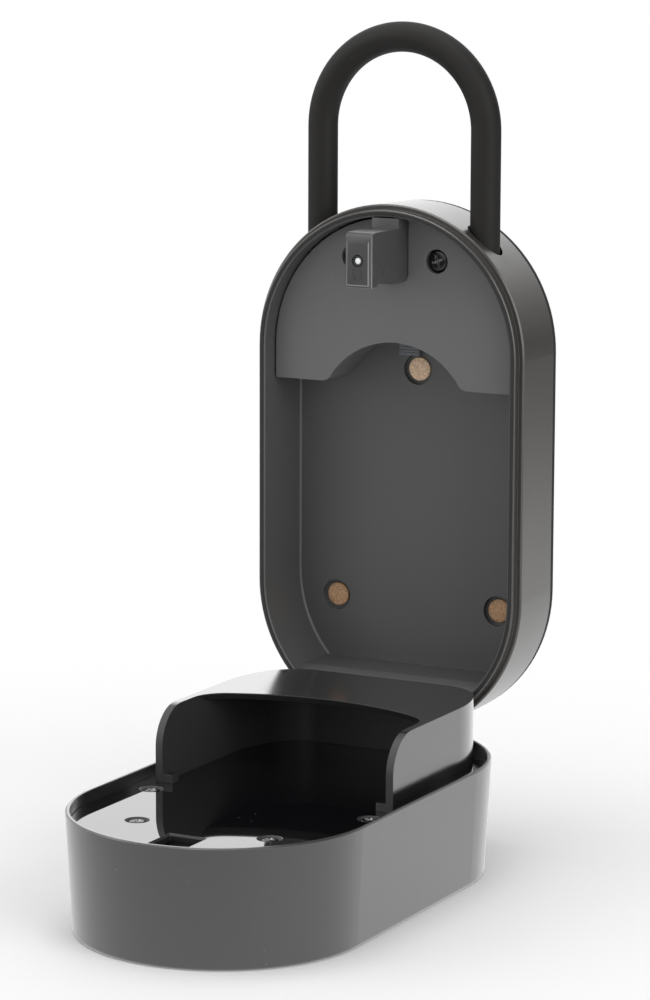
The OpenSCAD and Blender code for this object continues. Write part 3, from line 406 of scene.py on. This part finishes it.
FACE_FROM, FACE_FULL, SEAT_MATT, FACE_COAT = 30.03 * MM, 30.08 * MM, 0.6, 0.6
TRAY_MATT, TRAY_COAT = 0.45, 0.7
put = node_tools(piano.node_tree)
up = put.node("SeparateXYZ", {0: put.place()}).outputs["Z"]
polished_where(piano, put.ramp(up, FACE_FROM, FACE_FULL), SEAT_MATT, FACE_COAT)
put = node_tools(tray.node_tree)
polished_where(tray, put.maths("SUBTRACT", 1.0, within), TRAY_MATT, TRAY_COAT)

# %% The hood: glossy outside and on its feet, matt inside, and painted lighter inside
BEFORE_OPENING = on_door(0, -40, 40)
FOOT_TOP, LOOKS_UP = 36 * MM, 0.9
HOOD_INSIDE_PAINTED_LIGHTER, HOOD_MATT, HOOD_COAT = (0.03, 0.03, 0.0305), 0.5, 1.0
put = node_tools(hood_plastic.node_tree)
place = put.place()
normal = put.node("NewGeometry").outputs["Normal"]
outward = put.node("VectorMath", {0: place, 1: BEFORE_OPENING}, operation="SUBTRACT").outputs[0]
facing = put.node("VectorMath", {0: outward, 1: normal}, operation="DOT_PRODUCT").outputs["Value"]
outside = put.ramp(facing, 0.0, 0.5 * MM)
low = put.maths("LESS_THAN", put.node("SeparateXYZ", {0: place}).outputs["Z"], FOOT_TOP)
flat = put.maths("GREATER_THAN", put.node("SeparateXYZ", {0: normal}).outputs["Z"], LOOKS_UP)
shiny = put.maths("MAXIMUM", outside, put.maths("MULTIPLY", low, flat))
polished_where(hood_plastic, shiny, HOOD_MATT, HOOD_COAT)
# Inside the hood the base colour is painted lighter: painted light.
feed(hood_plastic, "Base Color", put.mix(shiny, HOOD_INSIDE_PAINTED_LIGHTER, what_feeds(hood_plastic, "Base Color")))

# %% [markdown]
# ### Soft parts
# The shackle wears a soft sleeve so that it doesn't scratch a door handle. Soft plastic and rubber scatter
# light, so they get a high roughness. The two lower foam discs are darker and warmer than the upper one,
# and a mask over the height darkens them.

# %% Finishes of the soft parts
sleeve_skin = finish("soft_sleeve", (0.011, 0.0098, 0.009), 0.6, grain=0.12, bump=0.006, spread=0.1,
                     dust=0.3, edge_mm=0.2, IOR=1.4)
wears(sleeve_skin, "shackle_sleeve")
seal_rubber = finish("seal_rubber", (0.016, 0.016, 0.016), 0.55, grain=0.15, bump=0.005,
                     dust=1.0, edge_mm=0.2)
wears(seal_rubber, "rim_seal")
pad_foam = finish("rear_foam", (0.014, 0.014, 0.014), 0.8, grain=0.5, bump=0.08, tone=0.4, edge_mm=0.3)
wears(pad_foam, "rear_pad")

# %% The foam of the discs, darker low down
FULL_TINT_Z, NO_TINT_Z = 0.08, 0.13
LOW_TINT, NO_TINT = (0.66, 0.55, 0.44), (1.0, 1.0, 1.0)
disc_foam = finish("tan_foam", (0.72, 0.52, 0.36), 0.75, grain=0.55, bump=0.09, tone=0.8,
                   edge_mm=0.2, dust=0.2)
put = node_tools(disc_foam.node_tree)
up = put.node("SeparateXYZ", {0: put.place()}).outputs["Z"]
tint = put.mix(put.ramp(up, FULL_TINT_Z, NO_TINT_Z), LOW_TINT, NO_TINT)
tinted = put.mix(1.0, what_feeds(disc_foam, "Base Color"), tint, blend_type="MULTIPLY")
feed(disc_foam, "Base Color", tinted)

# %% [markdown]
# ### Metal parts
# Screws are blackened or zinc plated, the shackle's core, its lock bolts and the latch are bright
# steel. All use the tool-mark group, with the marks stretched across the way each was cut.

# %% Finishes of the metal parts
EVENLY, ALONG_X, ALONG_Y, ALONG_Z = (1, 1, 1), (0.05, 1, 1), (1, 0.2, 1), (1, 1, 0.05)
black_oxide = finish("black_oxide", (0.06, 0.06, 0.063), 0.22, spread=0.04, metal=1.0, stretch=EVENLY,
                     bump=0.001, edge_mm=0.1, edge_colour=(0.55, 0.55, 0.56))
zinc = finish("zinc_plate", (0.42, 0.42, 0.43), 0.36, spread=0.06, metal=1.0, stretch=EVENLY,
              bump=0.002, edge_mm=0.12)
wears(zinc, "fixing_washers")
steel = finish("bright_steel", (0.5, 0.5, 0.51), 0.22, spread=0.04, metal=1.0, stretch=ALONG_X,
               bump=0.003, edge_mm=0.15)
wears(steel, "hinge_pin", "lock_bolt_left", "lock_bolt_right", "latch_bolt", "lead_screw", "gear_motor")
core_steel = finish("core_steel", (0.45, 0.45, 0.46), 0.33, spread=0.05, metal=1.0, stretch=ALONG_Z,
                    bump=0.003, edge_mm=0.15)
wears(core_steel, "shackle_core", "detent_spring")
tin = finish("tin_shield", (0.6, 0.6, 0.6), 0.4, metal=1.0, stretch=ALONG_Y, bump=0.002, edge_mm=0.15)
wears(tin, "radio_module", "battery_contacts")

# %% [markdown]
# ### Inner parts
# Inside the door lie the board, the cells and the latch drive. They show only from below an opened panel,
# and are finished too.

# %% Finishes of the inner parts
inner = finish("inner_plastic", (0.04, 0.04, 0.043), 0.5, grain=0.25, bump=0.006)
wears(inner, "battery_cradle", "motor_clamp", "bolt_guide", "lock_chassis")
acetal = finish("natural_acetal", (0.72, 0.7, 0.63), 0.4, grain=0.3, bump=0.003, Subsurface_Weight=0.1)
wears(acetal, "hinge_bushes")
board = finish("solder_mask", (0.012, 0.09, 0.045), 0.35, grain=1.2, bump=0.01, tone=0.5)
wears(board, "circuit_board")
chip = finish("sensor_chip", (0.02, 0.02, 0.022), 0.5, grain=0.1, bump=0.003)
wears(chip, "door_sensor")
milk = finish("milky_plastic", (0.85, 0.87, 0.88), 0.35, grain=0.5, bump=0.002, tone=0.03)
wears(milk, "light_pipe", "status_led")

# %% [markdown]
# ## New pieces
# The solids carry the right sizes, but small fasteners, cells and the board are plain in them. Each
# is modelled here again from a few bmesh operators, in the space of the solid that it stands for.
# One helper ends every piece in the same way: it merges doubles, turns the faces outwards, marks
# sharp edges by their angle, and hangs the piece on the body that it moves with.

# %% The helper that ends a piece
SHARP = math.radians(32)
ONE_MICRON = 1e-6


def settle(shape, name, body, slot, materials, *stands_for):
    """Makes a bmesh an object at the origin that rides on a body and stands for CAD nodes."""
    bmesh.ops.remove_doubles(shape, verts=shape.verts, dist=ONE_MICRON)
    bmesh.ops.recalc_face_normals(shape, faces=shape.faces)
    for face in shape.faces:
        face.smooth = True
    for edge in shape.edges:
        edge.smooth = edge.is_manifold and edge.calc_face_angle(0) < SHARP
    mesh = bpy.data.meshes.new(name)
    shape.to_mesh(mesh)
    shape.free()
    for material in materials:
        mesh.materials.append(material)
    piece = bpy.data.objects.new(name, mesh)
    bpy.context.scene.collection.objects.link(piece)
    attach(piece, body)
    if stands_for:
        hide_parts(*stands_for)
    low, high = (Vector(f(v.co[i] for v in mesh.vertices) for i in range(3)) for f in (min, max))
    size = [round((b - a) * 1000, 1) for a, b in zip(low, high)]
    print(name, "faces:", len(mesh.polygons), "mm:", size)
    return piece


# %% The helper that turns a profile on the lathe
def lathe(shape, profile, steps=36):
    """Spins a line of (radius, height) points in millimetres once round Z."""
    points = [shape.verts.new((r * MM, 0, z * MM)) for r, z in profile]
    lines = [shape.edges.new(pair) for pair in zip(points, points[1:])]
    bmesh.ops.spin(shape, geom=points + lines, cent=(0, 0, 0), axis=(0, 0, 1), dvec=(0, 0, 0),
                   angle=2 * math.pi, steps=steps, use_merge=True, use_duplicate=False)
    bmesh.ops.remove_doubles(shape, verts=shape.verts, dist=ONE_MICRON)


# %% Helpers that join shapes and set copies in their places
def join(whole, piece, seats=(Matrix.Identity(4),)):
    """Adds the piece to the whole once per seat, and frees it."""
    stock = bpy.data.meshes.new("stock")
    piece.to_mesh(stock)
    piece.free()
    for seat in seats:
        stock.transform(seat)
        whole.from_mesh(stock)
        stock.transform(seat.inverted())
    bpy.data.meshes.remove(stock)


def copies(template, places):
    """One bmesh that holds the template at every (place, rotation); the template is freed."""
    whole = bmesh.new()
    join(whole, template, [Matrix.Translation(place) @ turn.to_4x4() for place, turn in places])
    return whole


# %% [markdown]
# ### Screws
# A cross-head screw is a turned head, a tapered cross that a punch drives into it, and a rolled
# thread. The head and the shank come off the lathe as one profile with an open ring on top. The
# cross starts as a grid of three by three faces without its corners; it is pushed down and drawn
# in, and bridge_loops joins its rim to the ring. The thread is a true helix: a spin that also moves
# along the axis, closed at both ends. A boolean could cut the cross too, but leaves worse faces.
# The driver rubs the blacking off inside the cross, so those faces get bare steel.

# %% The cross recess
FLOOR_SHRINK = 0.5


def cross_recess(shape, ring_r, top, reach, arm, depth):
    """Closes an open ring on top of a head with a tapered cross recess. Lengths in millimetres."""
    third = reach * MM / 3
    ring = [edge for edge in shape.edges if edge.is_boundary]
    made = bmesh.ops.create_grid(shape, x_segments=3, y_segments=3, size=reach * MM,
                                 matrix=Matrix.Translation((0, 0, top * MM)))["verts"]
    faces = {face for vert in made for face in vert.link_faces}
    corners = [face for face in faces if min(abs(v) for v in face.calc_center_median().xy) > third]
    for axis in (0, 1):
        inner_lines = [vert for vert in made if abs(vert.co[axis]) < 1.5 * third]
        factor = [1, 1, 1]
        factor[axis] = arm / 2 / (reach / 3)
        bmesh.ops.scale(shape, vec=factor, verts=inner_lines)
    bmesh.ops.delete(shape, geom=corners, context="FACES")
    cross = [face for face in faces if face.is_valid]
    rim = [edge for face in cross for edge in face.edges if edge.is_boundary]
    bmesh.ops.subdivide_edges(shape, edges=rim, cuts=2)
    cross = [face for face in shape.faces if abs(face.calc_center_median().z - top * MM) < 1e-7
             and face.calc_center_median().xy.length < ring_r * MM]
    pushed = bmesh.ops.extrude_face_region(shape, geom=cross)["geom"]
    floor_verts = [item for item in pushed if isinstance(item, bmesh.types.BMVert)]
    bmesh.ops.delete(shape, geom=[face for face in cross if face.is_valid], context="FACES")
    bmesh.ops.translate(shape, vec=(0, 0, -depth * MM), verts=floor_verts)
    bmesh.ops.scale(shape, vec=(FLOOR_SHRINK, FLOOR_SHRINK, 1), verts=floor_verts)
    rim = [edge for edge in shape.edges if edge.is_boundary and edge not in ring]
    bmesh.ops.bridge_loops(shape, edges=ring + rim)


# %% One screw, head up at the origin
# SLIVER is half the width of the thread's crest, and how deep its root lies in the core.
CORE_SHARE, POINT_L, POINT_R, SLIVER = 0.8, 1.2, 0.12, 0.05
THREAD_STEPS, THREAD_END, TOOTH_SHARE = 14, 1.1, 0.34


def screw(head, shank, recess, pitch):
    """head is the profile from the recess's ring outwards and down, shank is (radius, length), and
    recess is (reach, arm, depth)."""
    shape = bmesh.new()
    ring_r, top = head[0]
    shank_r, shank_l = shank
    reach, arm, depth = recess
    under = head[-1][1]
    core = shank_r * CORE_SHARE
    lathe(shape, head + [(core, under - SLIVER), (core, under - shank_l + POINT_L),
                         (POINT_R, under - shank_l), (0, under - shank_l)])
    cross_recess(shape, ring_r, top, reach, arm, depth)
    for face in shape.faces:
        middle = face.calc_center_median() / MM
        if middle.xy.length < reach and top - depth - 0.02 < middle.z < top - 0.01:
            face.material_index = 1
    start = under - shank_l + THREAD_END
    root, half = core - SLIVER, pitch * TOOTH_SHARE
    tooth = [shape.verts.new((r * MM, 0, (start + z) * MM)) for r, z in
             ((root, -half), (shank_r, -SLIVER), (shank_r, SLIVER), (root, half))]
    flanks = [shape.edges.new(pair) for pair in zip(tooth, tooth[1:] + tooth[:1])]
    turns = max(1, int((shank_l - 2 * THREAD_END) / pitch))
    bmesh.ops.spin(shape, geom=tooth + flanks, cent=(0, 0, 0), axis=(0, 0, 1),
                   dvec=(0, 0, pitch * MM / THREAD_STEPS), angle=2 * math.pi * turns,
                   steps=THREAD_STEPS * turns, use_merge=False, use_duplicate=False)
    bmesh.ops.holes_fill(shape, edges=[edge for edge in shape.edges if edge.is_boundary], sides=0)
    return shape


# %% Heads, and the helper that sets a kind of screw
def flat_head(r, h, shank_r, dome=0.14):
    return [(r * 0.62, dome), (r * 0.82, dome * 0.62), (r - 0.12, 0), (r, -0.12), (shank_r, -h)]


def pan_head(r, h, shank_r):
    return [(r * 0.6, 0), (r * 0.8, -0.08), (r * 0.93, -0.3), (r, -0.62),
            (r, -h + 0.1), (r - 0.1, -h), (shank_r, -h)]


def set_screws(kind, body, plating, places, head, shank, recess, pitch=0.9):
    """One mesh of equal screws that stands for the CAD node <kind>_screws."""
    slot = "black_screw" if plating is black_oxide else "zinc_screw"
    settle(copies(screw(head, shank, recess, pitch), places),
           kind + "_screw_set", body, slot, [plating, steel], kind + "_screws")


# %% Screws of the panel and of the cover
SIDES = (-1, 1)
PANEL_SCREWS = ((34, -18.9), (20.3, -49.9))
panel_places = [(on_door(s * x, y, 29.75), DOOR_UP) for s in SIDES for x, y in PANEL_SCREWS]
set_screws("panel", "door", black_oxide, panel_places, flat_head(2.35, 1.3, 1.28),
           shank=(1.28, 12), recess=(1.42, 0.68, 1.1))
part_turned = HOUSING_OUT @ Matrix.Rotation(math.radians(20), 3, "Z")
cover_places = [(on_housing(s * 13.4, 138.1, 3.7), part_turned) for s in SIDES]
set_screws("cover", "housing", black_oxide, cover_places, pan_head(3.2, 1.7, 1.18),
           shank=(1.18, 9), recess=(1.75, 0.75, 1.2))

# %% Screws that hold the hood, the hinge bracket and the board
hood_places = [(on_door(s * 33.6, -9.3, 26.9), DOOR_DOWN) for s in SIDES]
set_screws("hood", "door", black_oxide, hood_places, pan_head(1.9, 1.2, 0.83),
           shank=(0.83, 3.6), recess=(1.0, 0.42, 0.7), pitch=0.6)
bracket_places = [(on_door(s * 18.5, 59.6, 28.7), DOOR_UP) for s in SIDES]
set_screws("bracket", "door", black_oxide, bracket_places, pan_head(2.7, 1.7, 1.28),
           shank=(1.28, 10), recess=(1.45, 0.62, 1.1))
board_places = [(on_door(s * 24, y, 8.4), DOOR_UP) for s in SIDES for y in (-39.2, -15)]
set_screws("board", "door", zinc, board_places, pan_head(2, 1.2, 0.88),
           shank=(0.88, 4.2), recess=(1.1, 0.45, 0.8), pitch=0.7)

# %% Screws of the striker and of the lock chassis
striker_places = [(on_housing(0, u, 21.5), HOUSING_BACK) for u in (133.5, 142.5)]
set_screws("striker", "housing", zinc, striker_places, flat_head(3.2, 1.5, 1.28, 0),
           shank=(1.28, 8), recess=(1.6, 0.66, 1.1))
chassis_places = [(on_housing(s * 16.5, 129, 15.4), HOUSING_OUT) for s in SIDES]
set_screws("chassis", "housing", zinc, chassis_places, pan_head(2.1, 1.2, 1.08),
           shank=(1.08, 3.4), recess=(1.15, 0.5, 0.8), pitch=0.8)

# %% [markdown]
# ### Sealing discs
# Foam plugs close the three fixing holes, so that rain behind the safe stays out. They are punched
# from sheet, so the edge is square with a slightly crushed rim, and the face swells a little. A
# lathe profile gives both. The open, speckled face of the foam is left to the finish.

# %% Sealing discs
DISC = [(0, 0.75), (1.6, 0.73), (2.9, 0.66), (3.3, 0.55), (3.46, 0.35), (3.48, -0.78), (0, -0.8)]
plug = bmesh.new()
lathe(plug, DISC, 48)
disc_places = [(on_housing(x, u, 20.2), HOUSING_OUT) for x, u in ((0, 104.4), (-26.4, 35.2), (26.4, 35.2))]
settle(copies(plug, disc_places), "sealing_discs", "housing", "disc", [disc_foam], "hole_seals")

# %% [markdown]
# ### The striker
# The striker's flanks and chamfers are exact in the solid, but its edges are knife-sharp, and a die casting
# never is. A copy of the solid is merged into clean polygons and every sharp edge gets a small two-step
# bevel. Round the nose the faces of that bevel get a lighter finish, a painted highlight that draws a light
# outline round the nose's edges. The Bevel modifier could do it too; bmesh keeps it in one place.

# %% Rounded copy of the striker
EDGE_ROUND, SHORTEST_EDGE = 0.16, 1.6


def on_nose(place):
    """True along the outline of the striker's nose, and not round the mark below the magnet."""
    return place.y < 44 and (abs(place.x) > 2.6 or place.z > 174.5 or place.z < 168.3)


casting = bmesh.new()
casting.from_mesh(nodes["striker"].data)
bmesh.ops.remove_doubles(casting, verts=casting.verts, dist=2 * ONE_MICRON)
bmesh.ops.dissolve_limit(casting, angle_limit=math.radians(1), verts=casting.verts, edges=casting.edges)
sharp = [edge for edge in casting.edges if edge.is_manifold and edge.calc_face_angle(0) > SHARP
         and edge.calc_length() > SHORTEST_EDGE * MM]
bevels = bmesh.ops.bevel(casting, geom=sharp, offset=EDGE_ROUND * MM, offset_type="OFFSET", affect="EDGES",
                         segments=2, profile=0.5, clamp_overlap=False, material=-1)["faces"]
# Bevel faces round the nose get the painted highlight; the others keep the striker's grey.
for face in bevels:
    face.material_index = 1 if on_nose(face.calc_center_median() / MM) else 0
bmesh.ops.dissolve_degenerate(casting, dist=2 * ONE_MICRON, edges=casting.edges)
print("rounded edges of the striker:", len(sharp))
settle(casting, "striker_body", "housing", "cover", [striker_grey, painted_nose_highlight], "striker")

# %% [markdown]
# ### The striker's eye
# On the striker's nose sits a small round magnet that tells the electronics that the door is shut.
# It is a white, slightly domed pin in a black collar. Both are lathe shapes; the collar is a ring
# with a rolled lip, pressed into the shallow seat of the solid.

# %% Magnet pin and its collar
PIN = [(0, 0.14), (0.45, 0.1), (0.78, -0.02), (0.95, -0.2), (0.98, -0.4), (0.98, -2.0), (0, -2.0)]
COLLAR = [(1.0, -0.3), (1.05, 0.02), (1.2, 0.16), (1.45, 0.16), (1.62, 0.02), (1.74, -0.26), (1.0, -0.3)]
eye = [(on_housing(0, 139.7, -19.8), HOUSING_OUT)]
pin = bmesh.new()
lathe(pin, PIN, 32)
settle(copies(pin, eye), "magnet_pin", "housing", "magnet", [milk], "striker_magnet")
collar = bmesh.new()
lathe(collar, COLLAR, 40)
settle(copies(collar, eye), "magnet_collar", "housing", "seal", [seal_rubber])

# %% [markdown]
# ### The cells
# Four slim cells feed the lock, laid head to tail. A real cell is a steel can in a shrunk sleeve:
# the sleeve rolls over both ends, a paper washer lies round the raised button, and a dark sleeve
# with a copper-coloured band marks the button's end. The whole profile is spun at once, and each
# ring of faces then gets its material from its height.

# %% Finishes and profile of a cell
sleeve_dark = finish("cell_sleeve", (0.02, 0.021, 0.024), 0.26, grain=0.6, bump=0.002, edge_mm=0.3,
                     Coat_Weight=0.4)
sleeve_band = finish("cell_band", (0.62, 0.28, 0.11), 0.3, metal=0.7, grain=0.6, bump=0.002, edge_mm=0.3)
paper_ring = finish("cell_washer", (0.75, 0.73, 0.68), 0.8, grain=0.3, bump=0.01)
CELL = [(0, 0.3), (3.8, 0.3), (3.95, 0.08), (4.3, 0), (4.85, 0), (5.15, 0.2), (5.25, 0.55), (5.25, 34.0),
        (5.25, 42.4), (5.12, 42.9), (4.7, 43.15), (4.3, 43.2), (4.2, 43.05), (2.9, 43.05), (2.8, 43.2),
        (2.62, 43.3), (2.58, 44.2), (2.3, 44.5), (0, 44.5)]
BUTTON_R, WASHER_R, BASE_R = 2.75, 4.25, 3.9
BASE_Z, BAND_Z, RIM_Z = 1, 34, 43

# %% The four cells
cell = bmesh.new()
lathe(cell, CELL, 40)
for face in cell.faces:
    middle_z = face.calc_center_median().z / MM
    radius = face.calc_center_median().xy.length / MM
    if radius < BUTTON_R and middle_z > RIM_Z or radius < BASE_R and middle_z < BASE_Z:
        face.material_index = 1
    elif middle_z > RIM_Z and radius < WASHER_R:
        face.material_index = 3
    elif middle_z > BAND_Z:
        face.material_index = 2
TO_FRONT = Matrix.Rotation(math.radians(90), 3, "X")
TO_BACK = Matrix.Rotation(math.radians(-90), 3, "X")
CELL_FRONT_Y, CELL_BACK_Y, CELL_PITCH, CELL_AXIS_Z = 0.1, 44.6, 11, 10.3
cell_places = [(on_door((i - 1.5) * CELL_PITCH, CELL_FRONT_Y if i % 2 else CELL_BACK_Y, CELL_AXIS_Z),
                TO_BACK if i % 2 else TO_FRONT) for i in range(4)]
settle(copies(cell, cell_places), "slim_cells", "door", "cell",
       [sleeve_dark, tin, sleeve_band, paper_ring], "battery_cells")

# %% [markdown]
# ### Parts on the board
# The circuit board is bare in the solids. A working board has a controller with leads on all four
# sides, a motor driver, a clock crystal, a can capacitor that smooths the motor's draw, a socket
# for the battery leads, and rows of small resistors and capacitors. They are beveled boxes and
# lathe shapes in one mesh, with a material for each kind of surface.

# %% A beveled box on the board
BOARD_TOP = 7.2
BODY, LEAD, SOCKET, CERAMIC = range(4)


def block(shape, x, y, size, edge, lift, material):
    """A box that stands on the board; edge is its bevel. Lengths in millimetres."""
    box = bmesh.new()
    place = Matrix.Translation(on_door(x, y, BOARD_TOP + lift + size[2] / 2))
    bmesh.ops.create_cube(box, size=MM, matrix=place @ Matrix.Diagonal((*size, 1)))
    if edge:
        bmesh.ops.bevel(box, geom=box.edges, offset=edge * MM, offset_type="OFFSET", affect="EDGES",
                        segments=2, profile=0.5, material=-1)
    for face in box.faces:
        face.material_index = material
    join(shape, box)


# %% A chip with its leads
TOE_L, HEEL_L, LEAD_W, TOE_H = 0.75, 0.14, 0.24, 0.12
TOE_OUT, HEEL_OUT, HEEL_SHARE = 0.35, 0.08, 0.55


def leaded_chip(shape, x, y, side, depth, height, count, both=True):
    """A chip body with gull-wing leads on two sides, or on all four."""
    block(shape, x, y, (side, depth, height), 0.15, 0.15, BODY)
    heel_h = height * HEEL_SHARE
    for k in range(count):
        step = (k - (count - 1) / 2) * (depth - 1) / max(1, count - 1)
        for s in SIDES:
            toe_x, heel_x = x + s * (side / 2 + TOE_OUT), x + s * (side / 2 + HEEL_OUT)
            block(shape, toe_x, y + step, (TOE_L, LEAD_W, TOE_H), 0, 0, LEAD)
            block(shape, heel_x, y + step, (HEEL_L, LEAD_W, heel_h), 0, 0, LEAD)
            if both:
                toe_y, heel_y = y + s * (depth / 2 + TOE_OUT), y + s * (depth / 2 + HEEL_OUT)
                block(shape, x + step, toe_y, (LEAD_W, TOE_L, TOE_H), 0, 0, LEAD)
                block(shape, x + step, heel_y, (LEAD_W, HEEL_L, heel_h), 0, 0, LEAD)


# %% Controller, motor driver, crystal and socket
parts = bmesh.new()
leaded_chip(parts, 12, -26, 7, 7, 1.1, 11)
leaded_chip(parts, 7.5, -50, 3.9, 5, 1.4, 4, False)
block(parts, 3.5, -24, (1.5, 3.2, 0.8), 0.15, 0, LEAD)
block(parts, -21, -24, (6.5, 7.5, 5.2), 0.3, 0, SOCKET)
block(parts, -21, -27.9, (4.6, 0.3, 3.4), 0, 0.9, BODY)
for s in SIDES:
    block(parts, -21 + s * 1.2, -28.2, (0.5, 0.8, 0.5), 0, 2.2, LEAD)
print("faces of the larger parts:", len(parts.faces))

# %% Rows of small resistors and capacitors
PASSIVES = [(5, -30), (7, -33), (9, -33), (11, -33), (14, -33), (17.5, -30), (18.5, -24), (18.5, -21),
            (3, -44), (5, -44), (12, -48), (12, -51), (-6, -50), (-9, -50), (-12, -53), (-3, -58), (3, -58),
            (-18, -34), (-18, -40), (-10, -22)]
for i, (x, y) in enumerate(PASSIVES):
    body_h, cap_h, kind = (0.55, 0.6, BODY) if i % 3 else (0.7, 0.75, CERAMIC)
    block(parts, x, y, (0.75, 1.0, body_h), 0.04, 0.02, kind)
    for s in SIDES:
        block(parts, x, y + s * 0.62, (0.8, 0.3, cap_h), 0.04, 0, LEAD)
print("small parts:", len(PASSIVES))

# %% The can capacitor, and the board's parts as one piece
CAN = [(0, 5.2), (2.7, 5.2), (3.0, 5.05), (3.1, 4.8), (3.1, 1.5), (2.9, 1.3), (2.9, 1.1), (3.1, 0.9),
       (3.1, 0), (0, 0)]
can = bmesh.new()
lathe(can, CAN)
for face in can.faces:
    face.material_index = LEAD
join(parts, can, [Matrix.Translation(on_door(13, -57, BOARD_TOP))])
ceramic = finish("ceramic_tan", (0.32, 0.22, 0.14), 0.4, grain=0.1, bump=0.002)
socket_white = finish("socket_white", (0.6, 0.58, 0.52), 0.45, grain=0.25, bump=0.004)
settle(parts, "board_parts", "door", "chip", [chip, tin, socket_white, ceramic])

# %% [markdown]
# ## The stage
# The floor is a wide pale sheet that keeps the object's shadow. A little away from the object it is plain
# white to the camera. In reflections it is a painted glow instead of lit paper, and that glow fades with
# the distance, and also to the front and to the left: painted shade for where the lamps don't reach the
# sheet. Each fade is a ramp, given as the two places in metres between which it runs, and its brightness
# before and after them.

# %% Floor
FLOOR_RADIUS, PAPER_WHITE = 14, (0.93, 0.93, 0.93, 1)
WHITE = (1, 1, 1, 1)
sheet = bmesh.new()
bmesh.ops.create_circle(sheet, cap_ends=True, segments=96, radius=FLOOR_RADIUS)
floor_mesh = bpy.data.meshes.new("studio_floor")
sheet.to_mesh(floor_mesh)
sheet.free()
floor = bpy.data.objects.new("studio_floor", floor_mesh)
bpy.context.scene.collection.objects.link(floor)
paper = bpy.data.materials.new("studio_paper")
paper.use_nodes = True
floor_mesh.materials.append(paper)
shader_socket(paper, "Base Color").default_value = PAPER_WHITE
shader_socket(paper, "Roughness").default_value = 0.9
print("floor radius in m:", FLOOR_RADIUS)

# %% How the floor looks to the camera and in reflections
WHITE_AWAY, FAR_DIM = (0.1, 0.34), (0.3, 1.2, 1.0, 0.12)
FRONT_DIM, LEFT_DIM = (-0.25, 0.05, 0.68, 1.0), (-0.28, -0.08, 0.55, 1.0)
tree = paper.node_tree
put = node_tools(tree)
place = put.place()
spot = put.node("SeparateXYZ", {0: place}).outputs
around = put.node("VectorMath", {0: place}, operation="LENGTH").outputs["Value"]
away = put.ramp(around, *WHITE_AWAY, interpolation_type="SMOOTHSTEP")
far = put.ramp(around, *FAR_DIM, interpolation_type="SMOOTHSTEP")
front, left = put.ramp(spot["Y"], *FRONT_DIM), put.ramp(spot["X"], *LEFT_DIM)
strength = put.maths("MULTIPLY", put.maths("MULTIPLY", far, front), left)
glow = put.node("Emission", {"Color": WHITE, "Strength": 1.0}).outputs[0]
# In reflections the floor is a glow of painted strength: bright behind and to the right, dimmer far off, in
# front and to the left.
mirror_glow = put.node("Emission", {"Color": WHITE, "Strength": strength}).outputs[0]
ray = put.node("LightPath").outputs
by_camera = put.maths("MULTIPLY", ray["Is Camera Ray"], away)
matte = tree.nodes["Principled BSDF"].outputs[0]
seen = put.node("MixShader", {0: by_camera, 1: matte, 2: glow}).outputs[0]
seen = put.node("MixShader", {0: ray["Is Glossy Ray"], 1: seen, 2: mirror_glow}).outputs[0]
tree.links.new(seen, tree.nodes["Material Output"].inputs["Surface"])
print("paper has", len(tree.nodes), "nodes")

# %% [markdown]
# ### World and lamps
# The world lights everything evenly and is white to the camera. In reflections it goes dark
# towards the right, as with a black card beside a white studio tent, so that the round ends show
# a light and a dark side. Four soft lamps, which the camera doesn't see, shape them further.

# %% World
EVEN_LIGHT = 0.62
CARD_TILT, CARD_EDGE = -0.25, (0.0, 0.42, 1.0, 0.12)
world = bpy.data.worlds.new("studio_world")
bpy.context.scene.world = world
world.use_nodes = True
world.node_tree.nodes.clear()
put = node_tools(world.node_tree)
ray = put.node("LightPath").outputs
way = put.node("SeparateXYZ", {0: put.node("TexCoord").outputs["Generated"]}).outputs
rightward = put.maths("MULTIPLY_ADD", way["Z"], CARD_TILT, way["X"])
card = put.ramp(rightward, *CARD_EDGE, interpolation_type="SMOOTHSTEP")
lit, white, studio = (put.node("Background", {"Color": WHITE, "Strength": strength}).outputs[0]
                      for strength in (EVEN_LIGHT, 1.0, card))
shown = put.maths("MAXIMUM", ray["Is Camera Ray"], ray["Is Transmission Ray"])
sky = put.node("MixShader", {0: shown, 1: lit, 2: white}).outputs[0]
sky = put.node("MixShader", {0: ray["Is Glossy Ray"], 1: sky, 2: studio}).outputs[0]
put.node("OutputWorld", {"Surface": sky})
print("world has", len(world.node_tree.nodes), "nodes")

# %% Lamps
AIM = Vector((0, 0, 0.1))


def soft_lamp(name, place, size, power):
    """A rectangular lamp that looks at the object; size in metres, power in watts."""
    lamp = bpy.data.lights.new(name, "AREA")
    lamp.shape = "RECTANGLE"
    lamp.size, lamp.size_y = size
    lamp.energy = power
    stand = bpy.data.objects.new(name, lamp)
    bpy.context.scene.collection.objects.link(stand)
    stand.location = place
    stand.rotation_euler = (AIM - Vector(place)).to_track_quat("-Z", "Y").to_euler()
    stand.visible_camera = False
    print(name, "gives", power, "W")


soft_lamp("right_softbox", (1.3, -0.5, 0.6), (1.0, 1.3), 9.5)
soft_lamp("left_softbox", (-1.2, -0.7, 0.7), (1.0, 1.2), 3.8)
soft_lamp("top_softbox", (-0.1, -0.1, 1.5), (1.0, 1.0), 6)
soft_lamp("rear_left_softbox", (-0.62, 1.4, 0.5), (1.3, 1.0), 2.4)
